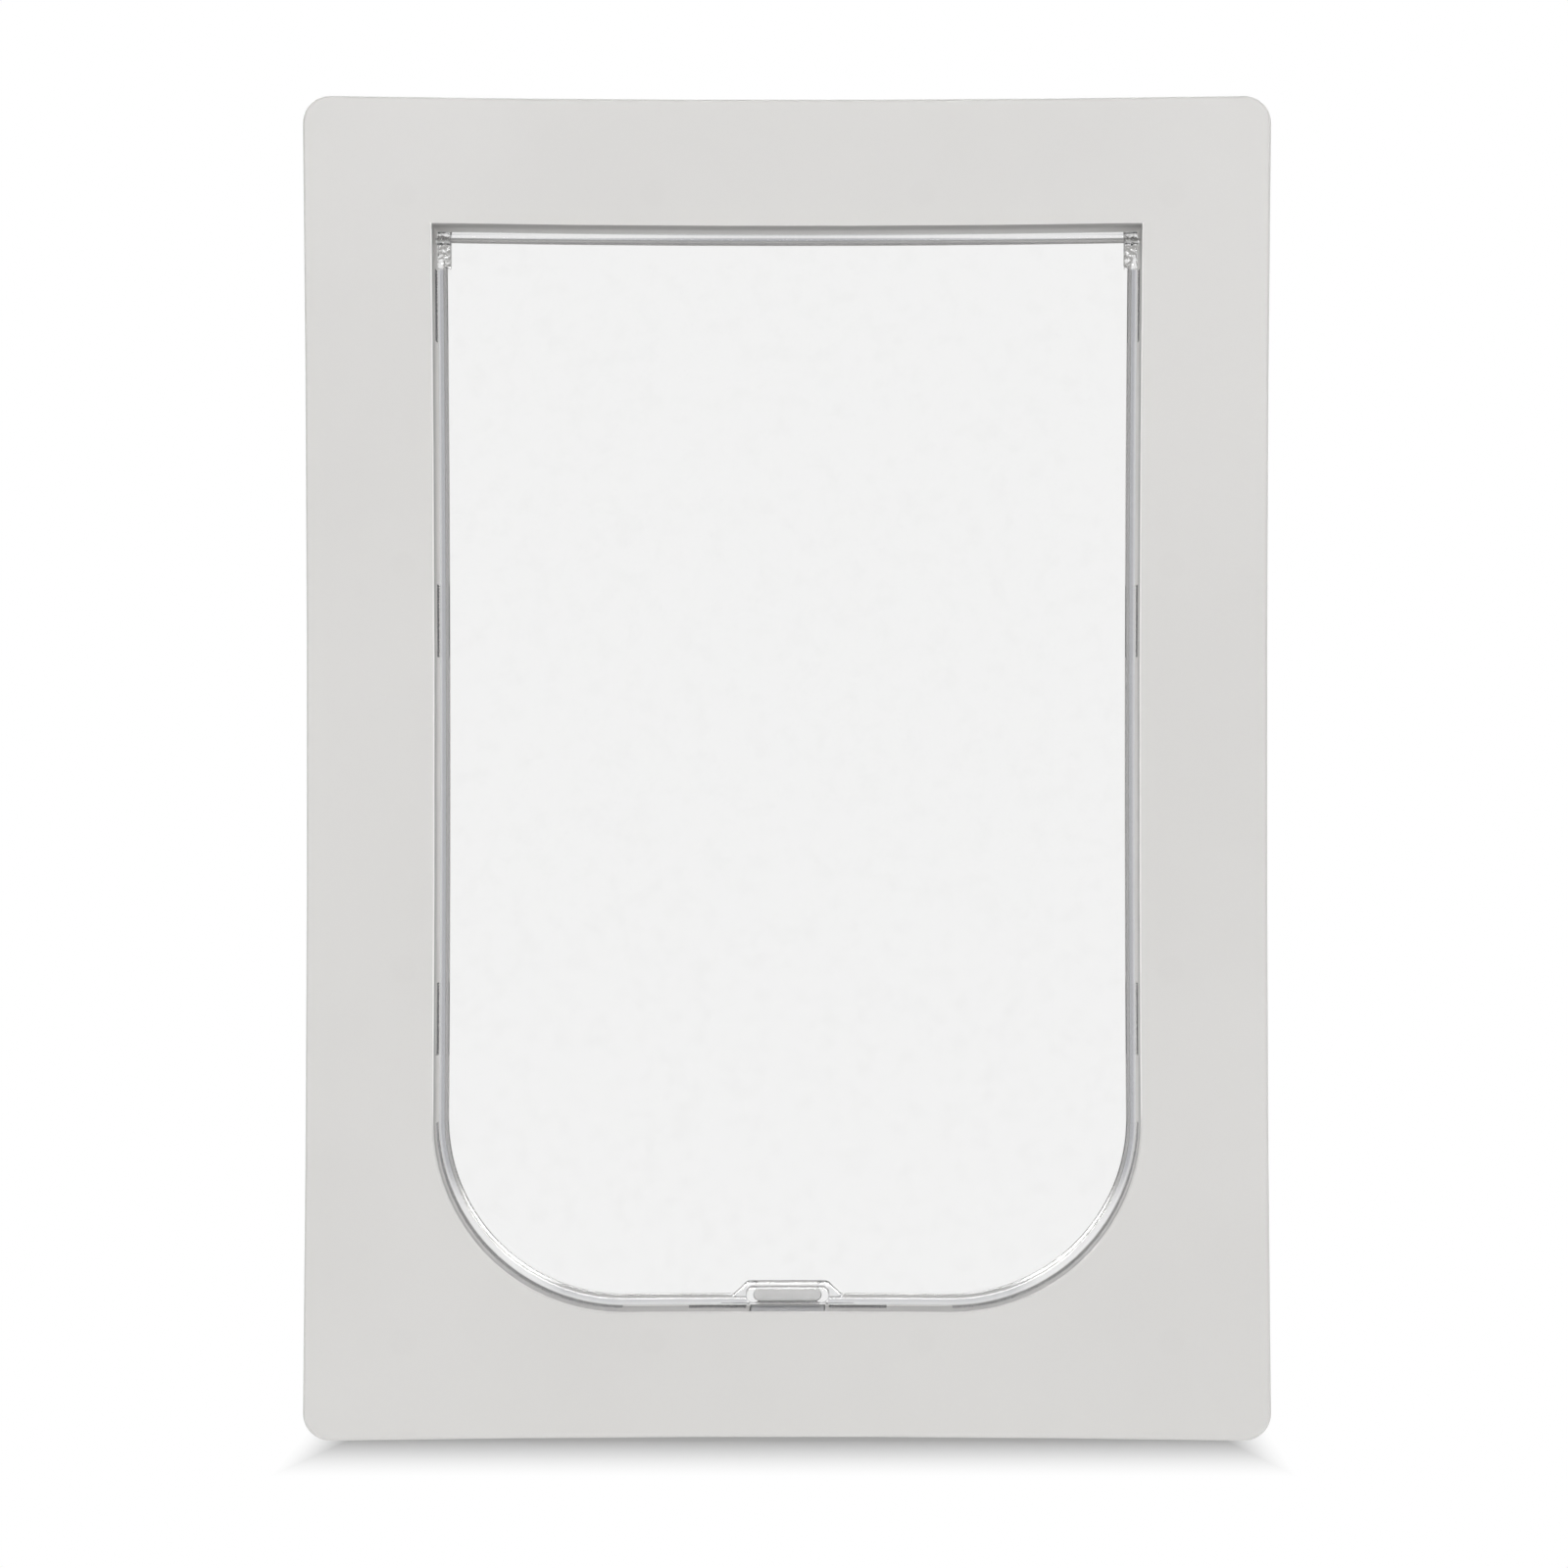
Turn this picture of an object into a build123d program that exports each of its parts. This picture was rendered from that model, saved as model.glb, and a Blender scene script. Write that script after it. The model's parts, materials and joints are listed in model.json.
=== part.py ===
from build123d import *
import os

os.makedirs("parts", exist_ok=True)

# Pet door for a large dog, in millimetres.
# The front (outdoor) side faces -Y, the indoor side +Y, and +Z is up.
# The origin is the middle of the whole unit: the middle of both plates and of the door's thickness.

# Opening of the tunnel, measured across the corners, with large round corners at the sill
opening_width = 264.0
opening_height = 404.8
opening_bow = 1.1
opening_bottom_corner = 70.0
opening_edge_chamfer = 0.6

# Plates, whose borders run round the opening; each edge curves in by plate_bow at its middle
border_side = 48.0
border_top = 48.0
border_bottom = 47.2
plate_bow = 1.6
plate_corner = 10.0
plate_depth = 9.0
plate_skin = 3.0
rim_wall = 2.6
plate_edge_chamfer = 0.8

# Ribs and screw bosses behind each plate; the bosses stand clear of the collars by boss_clearance
rib_thickness = 1.6
rib_recess = 0.8
boss_diameter = 10.0
boss_clearance = 1.0
screw_column_near = 50.0
screw_row_near = 75.0

# The door that the unit is screwed to, and the two collars that line its cut-out
door_thickness = 40.0
collar_wall = 2.2
telescope_gap = 0.3
outer_collar_reach = 26.0
inner_collar_reach = 34.0

# Clear flap: a thin panel, a step and a rounded bead round its edge
flap_setback = 18.0
flap_gap = 0.7
panel_thickness = 2.6
step_width = 1.6
step_thickness = 3.8
bead_width = 2.7
rim_thickness = 5.0
bead_chamfer = 1.3
top_bar_width = 3.6

# Hinge: a knuckle in each top corner of the flap, and a headed pin pushed through the collar
knuckle_diameter = 7.0
knuckle_width = 5.1
knuckle_drop = 8.2
knuckle_inset = 0.1
pin_diameter = 2.5
pin_fit = 0.05
pin_engagement = 4.3
pin_end_play = 0.4
pin_head_diameter = 5.0
pin_head_height = 1.2
socket_diameter = 8.0
socket_height = 1.8
socket_clearance = 0.5

# Magnet pocket at the foot of the flap: a tab with sloping ears that carries a round-ended pad
tab_base_width = 46.0
tab_top_width = 28.0
tab_height = 9.2
tab_base_rise = 1.5
tab_thickness = 4.4
tab_corner = 5.0
pad_width = 31.4
pad_height = 5.9
pad_rise = 4.15
pad_thickness = 7.6
pad_chamfer = 0.6
pocket_wall = 1.6
magnet_width = 25.3
magnet_height = 4.6
magnet_thickness = 4.4
magnet_fit = 0.15
tab_rib_far = 11.6
tab_rib_near = 6.5
tab_rib_width = 0.9
tab_rib_depth = 0.6
tab_rib_length = 1.7

# Keeper magnet let into the sill, in a tray moulded under the collar
keeper_width = 27.7
keeper_length = 22.0
keeper_thickness = 3.0
keeper_chamfer = 0.4
keeper_front_wall = 2.0
keeper_sink = 0.3
keeper_fit = 0.2
tray_wall = 1.6
tray_floor = 1.4

# Draught strips let into the tunnel wall beside the edge of the flap
strip_depth = 10.0
strip_ahead = 6.0
strip_recess = 1.0
strip_proud = 0.25
strip_end_gap = 0.15
side_strip_length = 27.0
side_strip_first_drop = 28.4
side_strip_second_drop = 146.7
side_strip_third_rise = 108.9
sill_strip_reach = 37.0

# Screws through the door, from the inner plate into the bosses of the outer plate
# Screws, bosses and their holes repeat often, so each is drawn with a few flats on its real radius
screw_length = 55.0
screw_diameter = 3.8
screw_head_diameter = 8.0
screw_head_sink = 0.2
screw_hole_fit = 0.3
screw_sides = 12
pilot_fit = 0.1
pilot_depth = 7.3

# Places that follow from the sizes above
opening_half_width = opening_width / 2
plate_half_width = opening_half_width + border_side
plate_half_height = (border_top + opening_height + border_bottom) / 2
opening_top = plate_half_height - border_top
opening_bottom = plate_half_height - border_bottom
sill_height = opening_bow - opening_bottom
door_face = door_thickness / 2
front_face = -(door_face + plate_depth)
outer_collar_rear = outer_collar_reach - door_face
inner_collar_front = door_face - inner_collar_reach
inner_collar_offset = collar_wall + telescope_gap
flap_y = front_face + flap_setback
flap_half = rim_thickness / 2
flap_foot = sill_height + flap_gap
hinge_z = opening_top - opening_bow - flap_gap - flap_half
knuckle_face = opening_half_width - flap_gap - knuckle_inset
socket_face = opening_half_width + collar_wall + socket_height
pin_head_face = socket_face + pin_head_height
keeper_top = sill_height - keeper_sink
keeper_front = front_face + keeper_front_wall
keeper_middle = keeper_front + keeper_length / 2
keeper_pocket_width = keeper_width + 2 * keeper_fit
keeper_pocket_length = keeper_length + 2 * keeper_fit
tray_rear = keeper_middle + keeper_pocket_length / 2 + tray_wall
tray_width = keeper_pocket_width + 2 * tray_wall
tray_foot = keeper_top - keeper_thickness - tray_floor
strip_front = flap_y - strip_ahead
side_strip_levels = (
    opening_top - side_strip_first_drop,
    opening_top - side_strip_second_drop,
    side_strip_third_rise - opening_bottom,
)
screw_hole_radius = screw_diameter / 2 + screw_hole_fit
countersink_radius = screw_head_diameter / 2 + screw_hole_fit + screw_head_sink
screw_offset = inner_collar_offset + collar_wall + boss_clearance + boss_diameter / 2
screw_column_far = opening_half_width + screw_offset
screw_row_top = opening_top + screw_offset
screw_row_foot = -opening_bottom - screw_offset

# Working planes that face the front, so that a positive extrusion goes towards -Y
door_plane = Plane.XZ.offset(door_face)
skin_plane = Plane.XZ.offset(door_face + plate_depth - plate_skin)
flap_plane = Plane.XZ.offset(-flap_y)
strip_plane = Plane.XZ.offset(-strip_front)

screw_points = [
    (side * column, row)
    for side in (-1, 1)
    for column, rows in (
        (screw_column_far, (screw_row_top, screw_row_near, -screw_row_near, screw_row_foot)),
        (screw_column_near, (screw_row_top, screw_row_foot)),
    )
    for row in rows
]
rib_columns = (-screw_column_far, -screw_column_near, screw_column_near, screw_column_far)
rib_rows = (screw_row_top, screw_row_near, -screw_row_near, screw_row_foot)


def few_sided(radius, mode=Mode.ADD):
    """Round section of a screw, boss or screw hole, drawn with a few flats that touch its real radius."""
    return RegularPolygon(radius, screw_sides, major_radius=False, mode=mode)


def bowed_outline(half_width, top, bottom, bow):
    """Outline with four gently curved sides that meet in sharp corners, drawn flat on XY."""
    middle = (top - bottom) / 2
    with BuildSketch() as outline:
        with BuildLine():
            ThreePointArc((-half_width, top), (0, top - bow), (half_width, top))
            ThreePointArc((half_width, top), (half_width - bow, middle), (half_width, -bottom))
            ThreePointArc((half_width, -bottom), (0, bow - bottom), (-half_width, -bottom))
            ThreePointArc((-half_width, -bottom), (bow - half_width, middle), (-half_width, top))
        make_face()
    return outline.sketch


def plate_outline(grow=0.0):
    """Outline of a plate, with four round corners, moved outwards by grow."""
    half_width = plate_half_width + grow
    half_height = plate_half_height + grow
    with BuildSketch() as outline:
        add(bowed_outline(half_width, half_height, half_height, plate_bow))
        fillet(outline.vertices(), plate_corner + grow)
    return outline.sketch


def opening_outline(grow=0.0, top_drop=0.0):
    """Outline of the opening, round at the sill, moved outwards by grow, with its top edge top_drop lower."""
    top = opening_top + grow - top_drop
    bottom = opening_bottom + grow
    with BuildSketch() as outline:
        add(bowed_outline(opening_half_width + grow, top, bottom, opening_bow))
        fillet(outline.vertices().group_by(Axis.Y)[0], opening_bottom_corner + grow)
    return outline.sketch


def flap_outline(inset=0.0, top_drop=0.0):
    """Outline of the flap, which follows the opening at the running gap, moved inwards by inset."""
    return opening_outline(-flap_gap - inset, top_drop)


def side_windows(side, end_gap=0.0):
    """Stretches of the side wall that hold the short draught strips, as (x, z, width, height)."""
    span = 4 * strip_recess
    return [(side * opening_half_width, z, span, side_strip_length + 2 * end_gap) for z in side_strip_levels]


def corner_windows(side, end_gap=0.0):
    """The rounded bottom corner on one side, from the end of the side wall to the flat of the sill."""
    reach = opening_bottom_corner + 2 * strip_recess + end_gap
    middle_x = opening_half_width - opening_bottom_corner - end_gap + reach / 2
    middle_z = opening_bottom_corner - opening_bottom + end_gap - reach / 2
    return [(side * middle_x, middle_z, reach, reach)]


def sill_windows(side, end_gap=0.0):
    """The stretch of the sill on one side of the keeper magnet's tray."""
    inner = tray_width / 2 - end_gap
    outer = sill_strip_reach + end_gap
    return [(side * (inner + outer) / 2, sill_height, outer - inner, 4 * strip_recess)]


def draught_strip(windows):
    """Pile strip that fills the given stretches of the tunnel's groove and stands a little proud."""
    with BuildPart() as strip:
        with BuildSketch(strip_plane):
            for x, z, width, height in windows:
                with Locations((x, z)):
                    Rectangle(width, height)
            add(opening_outline(strip_recess), mode=Mode.INTERSECT)
            add(opening_outline(-strip_proud), mode=Mode.SUBTRACT)
        extrude(amount=-strip_depth)
    return strip.part


# Plate moulding shared by both frames: a face with a returned rim, hollow behind, with ribs and bosses
with BuildPart() as plate_moulding:
    with BuildSketch(door_plane):
        add(plate_outline())
    extrude(amount=plate_depth)
    chamfer(plate_moulding.faces().sort_by(Axis.Y)[0].edges(), plate_edge_chamfer)
    with BuildSketch(door_plane):
        add(plate_outline(-rim_wall))
        with Locations(*screw_points):
            few_sided(boss_diameter / 2, Mode.SUBTRACT)
    extrude(amount=plate_depth - plate_skin, mode=Mode.SUBTRACT)
    with BuildSketch(skin_plane):
        rib_span_z = 2 * (plate_half_height - plate_bow) - rim_wall
        rib_span_x = 2 * (plate_half_width - plate_bow) - rim_wall
        with Locations(*[(column, 0) for column in rib_columns]):
            Rectangle(rib_thickness, rib_span_z)
        with Locations(*[(0, row) for row in rib_rows]):
            Rectangle(rib_span_x, rib_thickness)
    extrude(amount=-(plate_depth - plate_skin - rib_recess))

# Outer frame: plate, collar through the door, hinge sockets, magnet tray and strip grooves
with BuildPart() as outer_frame:
    add(plate_moulding.part)
    with BuildSketch(skin_plane):
        add(opening_outline(collar_wall))
    extrude(amount=-(outer_collar_rear - front_face - plate_skin))
    with BuildSketch(Plane.YZ.offset(opening_half_width), Plane.YZ.offset(-socket_face)):
        with Locations((flap_y, hinge_z)):
            Circle(socket_diameter / 2)
    extrude(amount=socket_face - opening_half_width)
    with BuildSketch(skin_plane):
        with Locations((0, (tray_foot + sill_height) / 2)):
            Rectangle(tray_width, sill_height - tray_foot)
    extrude(amount=-(tray_rear - front_face - plate_skin))
    with BuildSketch(Plane.XZ.offset(-outer_collar_rear)):
        add(opening_outline())
    extrude(amount=outer_collar_rear - front_face, mode=Mode.SUBTRACT)
    chamfer(outer_frame.faces().sort_by(Axis.Y)[0].inner_wires()[0].edges(), opening_edge_chamfer)
    with BuildSketch(Plane.XY.offset(tray_foot + tray_floor)):
        with Locations((0, keeper_middle)):
            Rectangle(keeper_pocket_width, keeper_pocket_length)
    extrude(amount=keeper_thickness + keeper_sink + strip_recess, mode=Mode.SUBTRACT)
    with BuildSketch(Plane.YZ.offset(-socket_face)):
        with Locations((flap_y, hinge_z)):
            Circle(pin_diameter / 2 + pin_fit)
    extrude(amount=2 * socket_face, mode=Mode.SUBTRACT)
    with BuildSketch(strip_plane):
        for side in (-1, 1):
            for windows in (side_windows, corner_windows, sill_windows):
                for x, z, width, height in windows(side, strip_end_gap):
                    with Locations((x, z)):
                        Rectangle(width, height)
        add(opening_outline(strip_recess), mode=Mode.INTERSECT)
    extrude(amount=-strip_depth, mode=Mode.SUBTRACT)
    with BuildSketch(door_plane):
        with Locations(*screw_points):
            few_sided(screw_diameter / 2 + pilot_fit)
    extrude(amount=pilot_depth, mode=Mode.SUBTRACT)
outer_frame.part.label = "outer_frame"
export_step(outer_frame.part, "parts/outer_frame.step")

# Inner frame: the same plate turned to face indoors, with a wider collar that slides over the outer one
with BuildPart() as inner_frame:
    add(plate_moulding.part)
    mirror(about=Plane.XZ, mode=Mode.REPLACE)
    with BuildSketch(Plane.XZ.offset(-inner_collar_front)):
        add(opening_outline(inner_collar_offset + collar_wall))
    extrude(amount=-(-front_face - plate_skin - inner_collar_front))
    with BuildSketch(Plane.XZ.offset(-inner_collar_front)):
        add(opening_outline(inner_collar_offset))
    extrude(amount=-(-front_face - inner_collar_front), mode=Mode.SUBTRACT)
    chamfer(inner_frame.faces().sort_by(Axis.Y)[-1].inner_wires()[0].edges(), opening_edge_chamfer)
    with BuildSketch(Plane.XZ.offset(front_face)):
        with Locations(*screw_points):
            few_sided(screw_hole_radius)
    extrude(amount=plate_depth, mode=Mode.SUBTRACT)
    with BuildSketch(Plane.XZ.offset(front_face)):
        with Locations(*screw_points):
            few_sided(countersink_radius)
    extrude(amount=countersink_radius - screw_hole_radius, taper=45, mode=Mode.SUBTRACT)
    with BuildSketch(Plane.YZ):
        with Locations((inner_collar_front, hinge_z)):
            Rectangle(
                2 * (flap_y + socket_diameter / 2 + socket_clearance - inner_collar_front),
                socket_diameter + 2 * socket_clearance,
            )
    extrude(amount=pin_head_face + socket_clearance, both=True, mode=Mode.SUBTRACT)
    with BuildSketch(Plane.XY.offset(tray_foot - socket_clearance)):
        with Locations((0, inner_collar_front)):
            Rectangle(
                tray_width + 2 * socket_clearance,
                2 * (tray_rear + socket_clearance - inner_collar_front),
            )
    extrude(amount=sill_height - tray_foot, mode=Mode.SUBTRACT)
inner_frame.part.label = "inner_frame"
export_step(inner_frame.part, "parts/inner_frame.step")

# Round-ended pad at the foot of the flap, the outside of its magnet pocket
with BuildPart() as magnet_pad:
    with BuildSketch(flap_plane.offset(-pad_thickness / 2)):
        with Locations((0, flap_foot + pad_rise)):
            SlotOverall(pad_width, pad_height)
    extrude(amount=pad_thickness)
    chamfer(magnet_pad.faces().filter_by(Plane.XZ).edges(), pad_chamfer)

# Flap: one clear moulding with panel, step, bead, hinge knuckles and magnet pocket
with BuildPart() as flap:
    with BuildSketch(flap_plane):
        add(flap_outline())
    extrude(amount=flap_half, both=True)
    for side in (1, -1):
        with BuildSketch(flap_plane.offset(side * flap_half)):
            add(flap_outline(bead_width, top_bar_width - bead_width))
        extrude(amount=-side * (rim_thickness - step_thickness) / 2, mode=Mode.SUBTRACT)
        with BuildSketch(flap_plane.offset(side * flap_half)):
            add(flap_outline(bead_width + step_width))
        extrude(amount=-side * (rim_thickness - panel_thickness) / 2, mode=Mode.SUBTRACT)
    bead_faces = flap.faces().filter_by(Plane.XZ).sort_by(Axis.Y)
    chamfer([bead_faces[0].outer_wire().edges(), bead_faces[-1].outer_wire().edges()], bead_chamfer)
    with BuildSketch(Plane.YZ.offset(knuckle_face), Plane.YZ.offset(knuckle_width - knuckle_face)):
        with Locations((flap_y, hinge_z)):
            Circle(knuckle_diameter / 2)
        with Locations((flap_y, hinge_z - knuckle_drop)):
            Circle(step_thickness / 2)
        make_hull()
    extrude(amount=-knuckle_width)
    bore_end = knuckle_face - pin_engagement - pin_end_play
    with BuildSketch(Plane.YZ.offset(bore_end), Plane.YZ.offset(-opening_half_width)):
        with Locations((flap_y, hinge_z)):
            Circle(pin_diameter / 2 + pin_fit)
    extrude(amount=opening_half_width - bore_end, mode=Mode.SUBTRACT)
    with BuildSketch(flap_plane):
        foot = flap_foot + tab_base_rise
        head = flap_foot + tab_height
        with BuildLine():
            Polyline(
                (-tab_base_width / 2, foot),
                (tab_base_width / 2, foot),
                (tab_top_width / 2, head),
                (-tab_top_width / 2, head),
                close=True,
            )
        tab = make_face()
        fillet(tab.vertices().group_by(Axis.Y)[-1], tab_corner)
    extrude(amount=tab_thickness / 2, both=True)
    with BuildSketch(flap_plane.offset(tab_thickness / 2)):
        rib_middle = flap_foot + (pad_rise + pad_height / 2 + tab_height) / 2
        with Locations(*[(side * x, rib_middle) for x in (tab_rib_near, tab_rib_far) for side in (-1, 1)]):
            Rectangle(tab_rib_width, tab_rib_length)
    extrude(amount=tab_rib_depth)
    add(magnet_pad.part)
    with BuildSketch(flap_plane.offset(-pad_thickness / 2)):
        with Locations((0, flap_foot + pad_rise)):
            SlotOverall(magnet_width + 2 * magnet_fit, magnet_height + 2 * magnet_fit)
    extrude(amount=pad_thickness - pocket_wall, mode=Mode.SUBTRACT)
flap.part.label = "flap"
export_step(flap.part, "parts/flap.step")

# Magnet in the flap's pocket, a round-ended bar pressed in from indoors against the pocket's end wall
with BuildPart() as flap_magnet:
    with BuildSketch(flap_plane.offset(pad_thickness / 2 - pocket_wall)):
        with Locations((0, flap_foot + pad_rise)):
            SlotOverall(magnet_width, magnet_height)
    extrude(amount=-magnet_thickness)
flap_magnet.part.label = "flap_magnet"
export_step(flap_magnet.part, "parts/flap_magnet.step")

# Keeper magnet, a bar that lies on the floor of the sill's tray
with BuildPart() as keeper_magnet:
    with BuildSketch(Plane.XY.offset(keeper_top - keeper_thickness)):
        with Locations((0, keeper_middle)):
            Rectangle(keeper_width, keeper_length)
    extrude(amount=keeper_thickness)
    chamfer(keeper_magnet.edges(), keeper_chamfer)
keeper_magnet.part.label = "keeper_magnet"
export_step(keeper_magnet.part, "parts/keeper_magnet.step")

# Hinge pins, headed, each pushed from outside through the collar's socket into the flap's knuckle
with BuildPart() as hinge_pin_right:
    with BuildSketch(Plane.YZ.offset(socket_face)):
        with Locations((flap_y, hinge_z)):
            Circle(pin_head_diameter / 2)
    extrude(amount=pin_head_height)
    with BuildSketch(Plane.YZ.offset(socket_face)):
        with Locations((flap_y, hinge_z)):
            Circle(pin_diameter / 2)
    extrude(amount=knuckle_face - pin_engagement - socket_face)
hinge_pin_right.part.label = "hinge_pin_right"
export_step(hinge_pin_right.part, "parts/hinge_pin_right.step")

with BuildPart() as hinge_pin_left:
    add(hinge_pin_right.part)
    mirror(about=Plane.YZ, mode=Mode.REPLACE)
hinge_pin_left.part.label = "hinge_pin_left"
export_step(hinge_pin_left.part, "parts/hinge_pin_left.step")

# Draught strips of pile: short ones up the sides, one round each bottom corner, and two on the sill
for side, hand in ((-1, "left"), (1, "right")):
    side_strips = draught_strip(side_windows(side))
    side_strips.label = f"side_strips_{hand}"
    export_step(side_strips, f"parts/side_strips_{hand}.step")
    corner_strip = draught_strip(corner_windows(side))
    corner_strip.label = f"corner_strip_{hand}"
    export_step(corner_strip, f"parts/corner_strip_{hand}.step")
sill_strips = draught_strip(sill_windows(-1) + sill_windows(1))
sill_strips.label = "sill_strips"
export_step(sill_strips, "parts/sill_strips.step")

# One countersunk screw, with its head at the origin and its tip towards -Y
with BuildPart() as one_screw:
    with BuildSketch(Plane.XZ):
        few_sided(screw_head_diameter / 2)
    extrude(amount=(screw_head_diameter - screw_diameter) / 2, taper=45)
    with BuildSketch(Plane.XZ):
        few_sided(screw_diameter / 2)
    extrude(amount=screw_length)

with BuildPart() as frame_screws:
    with Locations(*[(x, -front_face - screw_head_sink, z) for x, z in screw_points]):
        add(one_screw.part)
frame_screws.part.label = "frame_screws"
export_step(frame_screws.part, "parts/frame_screws.step")
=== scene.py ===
"""Visual model of a through-the-door pet flap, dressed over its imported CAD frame.

The unit stands as it would before fitting: an outdoor plate with its collar, an indoor plate that slides
over it, a clear flap on two hinge pins, a magnet in the flap's foot and another in the sill, pile draught
strips and the screws that clamp the plates to a door. Everything is in metres, with -Y outdoors and +Z up.
"""

import json
import logging
import math
from collections.abc import Sequence
from dataclasses import dataclass
from enum import Enum
from typing import Any

import bpy
import numpy as np
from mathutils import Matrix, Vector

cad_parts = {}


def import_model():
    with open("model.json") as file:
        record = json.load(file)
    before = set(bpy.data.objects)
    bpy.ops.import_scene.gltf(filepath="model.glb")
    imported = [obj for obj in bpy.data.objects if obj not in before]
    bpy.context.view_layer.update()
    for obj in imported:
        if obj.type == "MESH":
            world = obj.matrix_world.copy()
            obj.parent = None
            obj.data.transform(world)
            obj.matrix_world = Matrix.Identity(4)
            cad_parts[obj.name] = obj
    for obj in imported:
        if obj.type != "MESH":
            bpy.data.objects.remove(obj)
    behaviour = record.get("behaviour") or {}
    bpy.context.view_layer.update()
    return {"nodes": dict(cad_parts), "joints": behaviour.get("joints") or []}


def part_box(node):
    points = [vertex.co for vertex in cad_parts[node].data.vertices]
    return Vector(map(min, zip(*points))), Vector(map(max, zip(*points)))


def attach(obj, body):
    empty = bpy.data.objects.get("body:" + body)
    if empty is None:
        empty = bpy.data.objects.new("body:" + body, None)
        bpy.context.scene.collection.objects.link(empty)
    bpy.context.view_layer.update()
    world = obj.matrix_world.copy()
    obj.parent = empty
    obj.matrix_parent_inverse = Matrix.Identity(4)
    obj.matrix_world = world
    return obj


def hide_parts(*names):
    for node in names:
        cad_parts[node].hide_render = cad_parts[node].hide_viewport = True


LOG = logging.getLogger("pet_door")
MM = 0.001

Colour = tuple[float, float, float]


class Body(Enum):
    """The two bodies that the pieces ride on."""

    FRAME = "frame"
    FLAP = "flap"


class Signal:
    """A shader socket on which Python's operators add Math nodes."""

    def __init__(self, graph: "Graph", socket: bpy.types.NodeSocket) -> None:
        """Wraps one output socket of a node in a graph."""
        self.graph = graph
        self.socket = socket

    def _math(self, operation: str, *values: "Signal | float") -> "Signal":
        """The result of one Math node, whose inputs are the given values in order."""
        return self.graph.node("ShaderNodeMath", {"operation": operation}, dict(enumerate(values)))

    def __add__(self, other: "Signal | float") -> "Signal":
        """Sum."""
        return self._math("ADD", self, other)

    def __sub__(self, other: "Signal | float") -> "Signal":
        """Difference."""
        return self._math("SUBTRACT", self, other)

    def __rsub__(self, other: float) -> "Signal":
        """Difference from a number."""
        return self._math("SUBTRACT", other, self)

    def __mul__(self, other: "Signal | float") -> "Signal":
        """Product."""
        return self._math("MULTIPLY", self, other)

    __radd__ = __add__
    __rmul__ = __mul__

    def size(self) -> "Signal":
        """The value without its sign."""
        return self._math("ABSOLUTE", self)

    def power(self, exponent: float) -> "Signal":
        """The value raised to a power."""
        return self._math("POWER", self, exponent)

    def lesser(self, other: "Signal | float") -> "Signal":
        """The lesser of two values."""
        return self._math("MINIMUM", self, other)

    def greater(self, other: "Signal | float") -> "Signal":
        """The greater of two values."""
        return self._math("MAXIMUM", self, other)

    def root(self) -> "Signal":
        """Square root."""
        return self._math("SQRT", self)

    def ramp(self, low: float, high: float, at_low: float = 0.0, at_high: float = 1.0) -> "Signal":
        """A smooth step from at_low, up to the value low, to at_high, from the value high on."""
        values = {0: self, 1: low, 2: high, 3: at_low, 4: at_high}
        return self.graph.node("ShaderNodeMapRange", {"interpolation_type": "SMOOTHSTEP"}, values)

    def below(self, edge: float, soft: float) -> "Signal":
        """1 up to an edge, and 0 from a soft step beyond it."""
        return self.ramp(edge, edge + soft, 1.0, 0.0)

    def beyond(self, edge: float, soft: float) -> "Signal":
        """0 up to an edge, and 1 from a soft step beyond it."""
        return self.ramp(edge, edge + soft)


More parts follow.
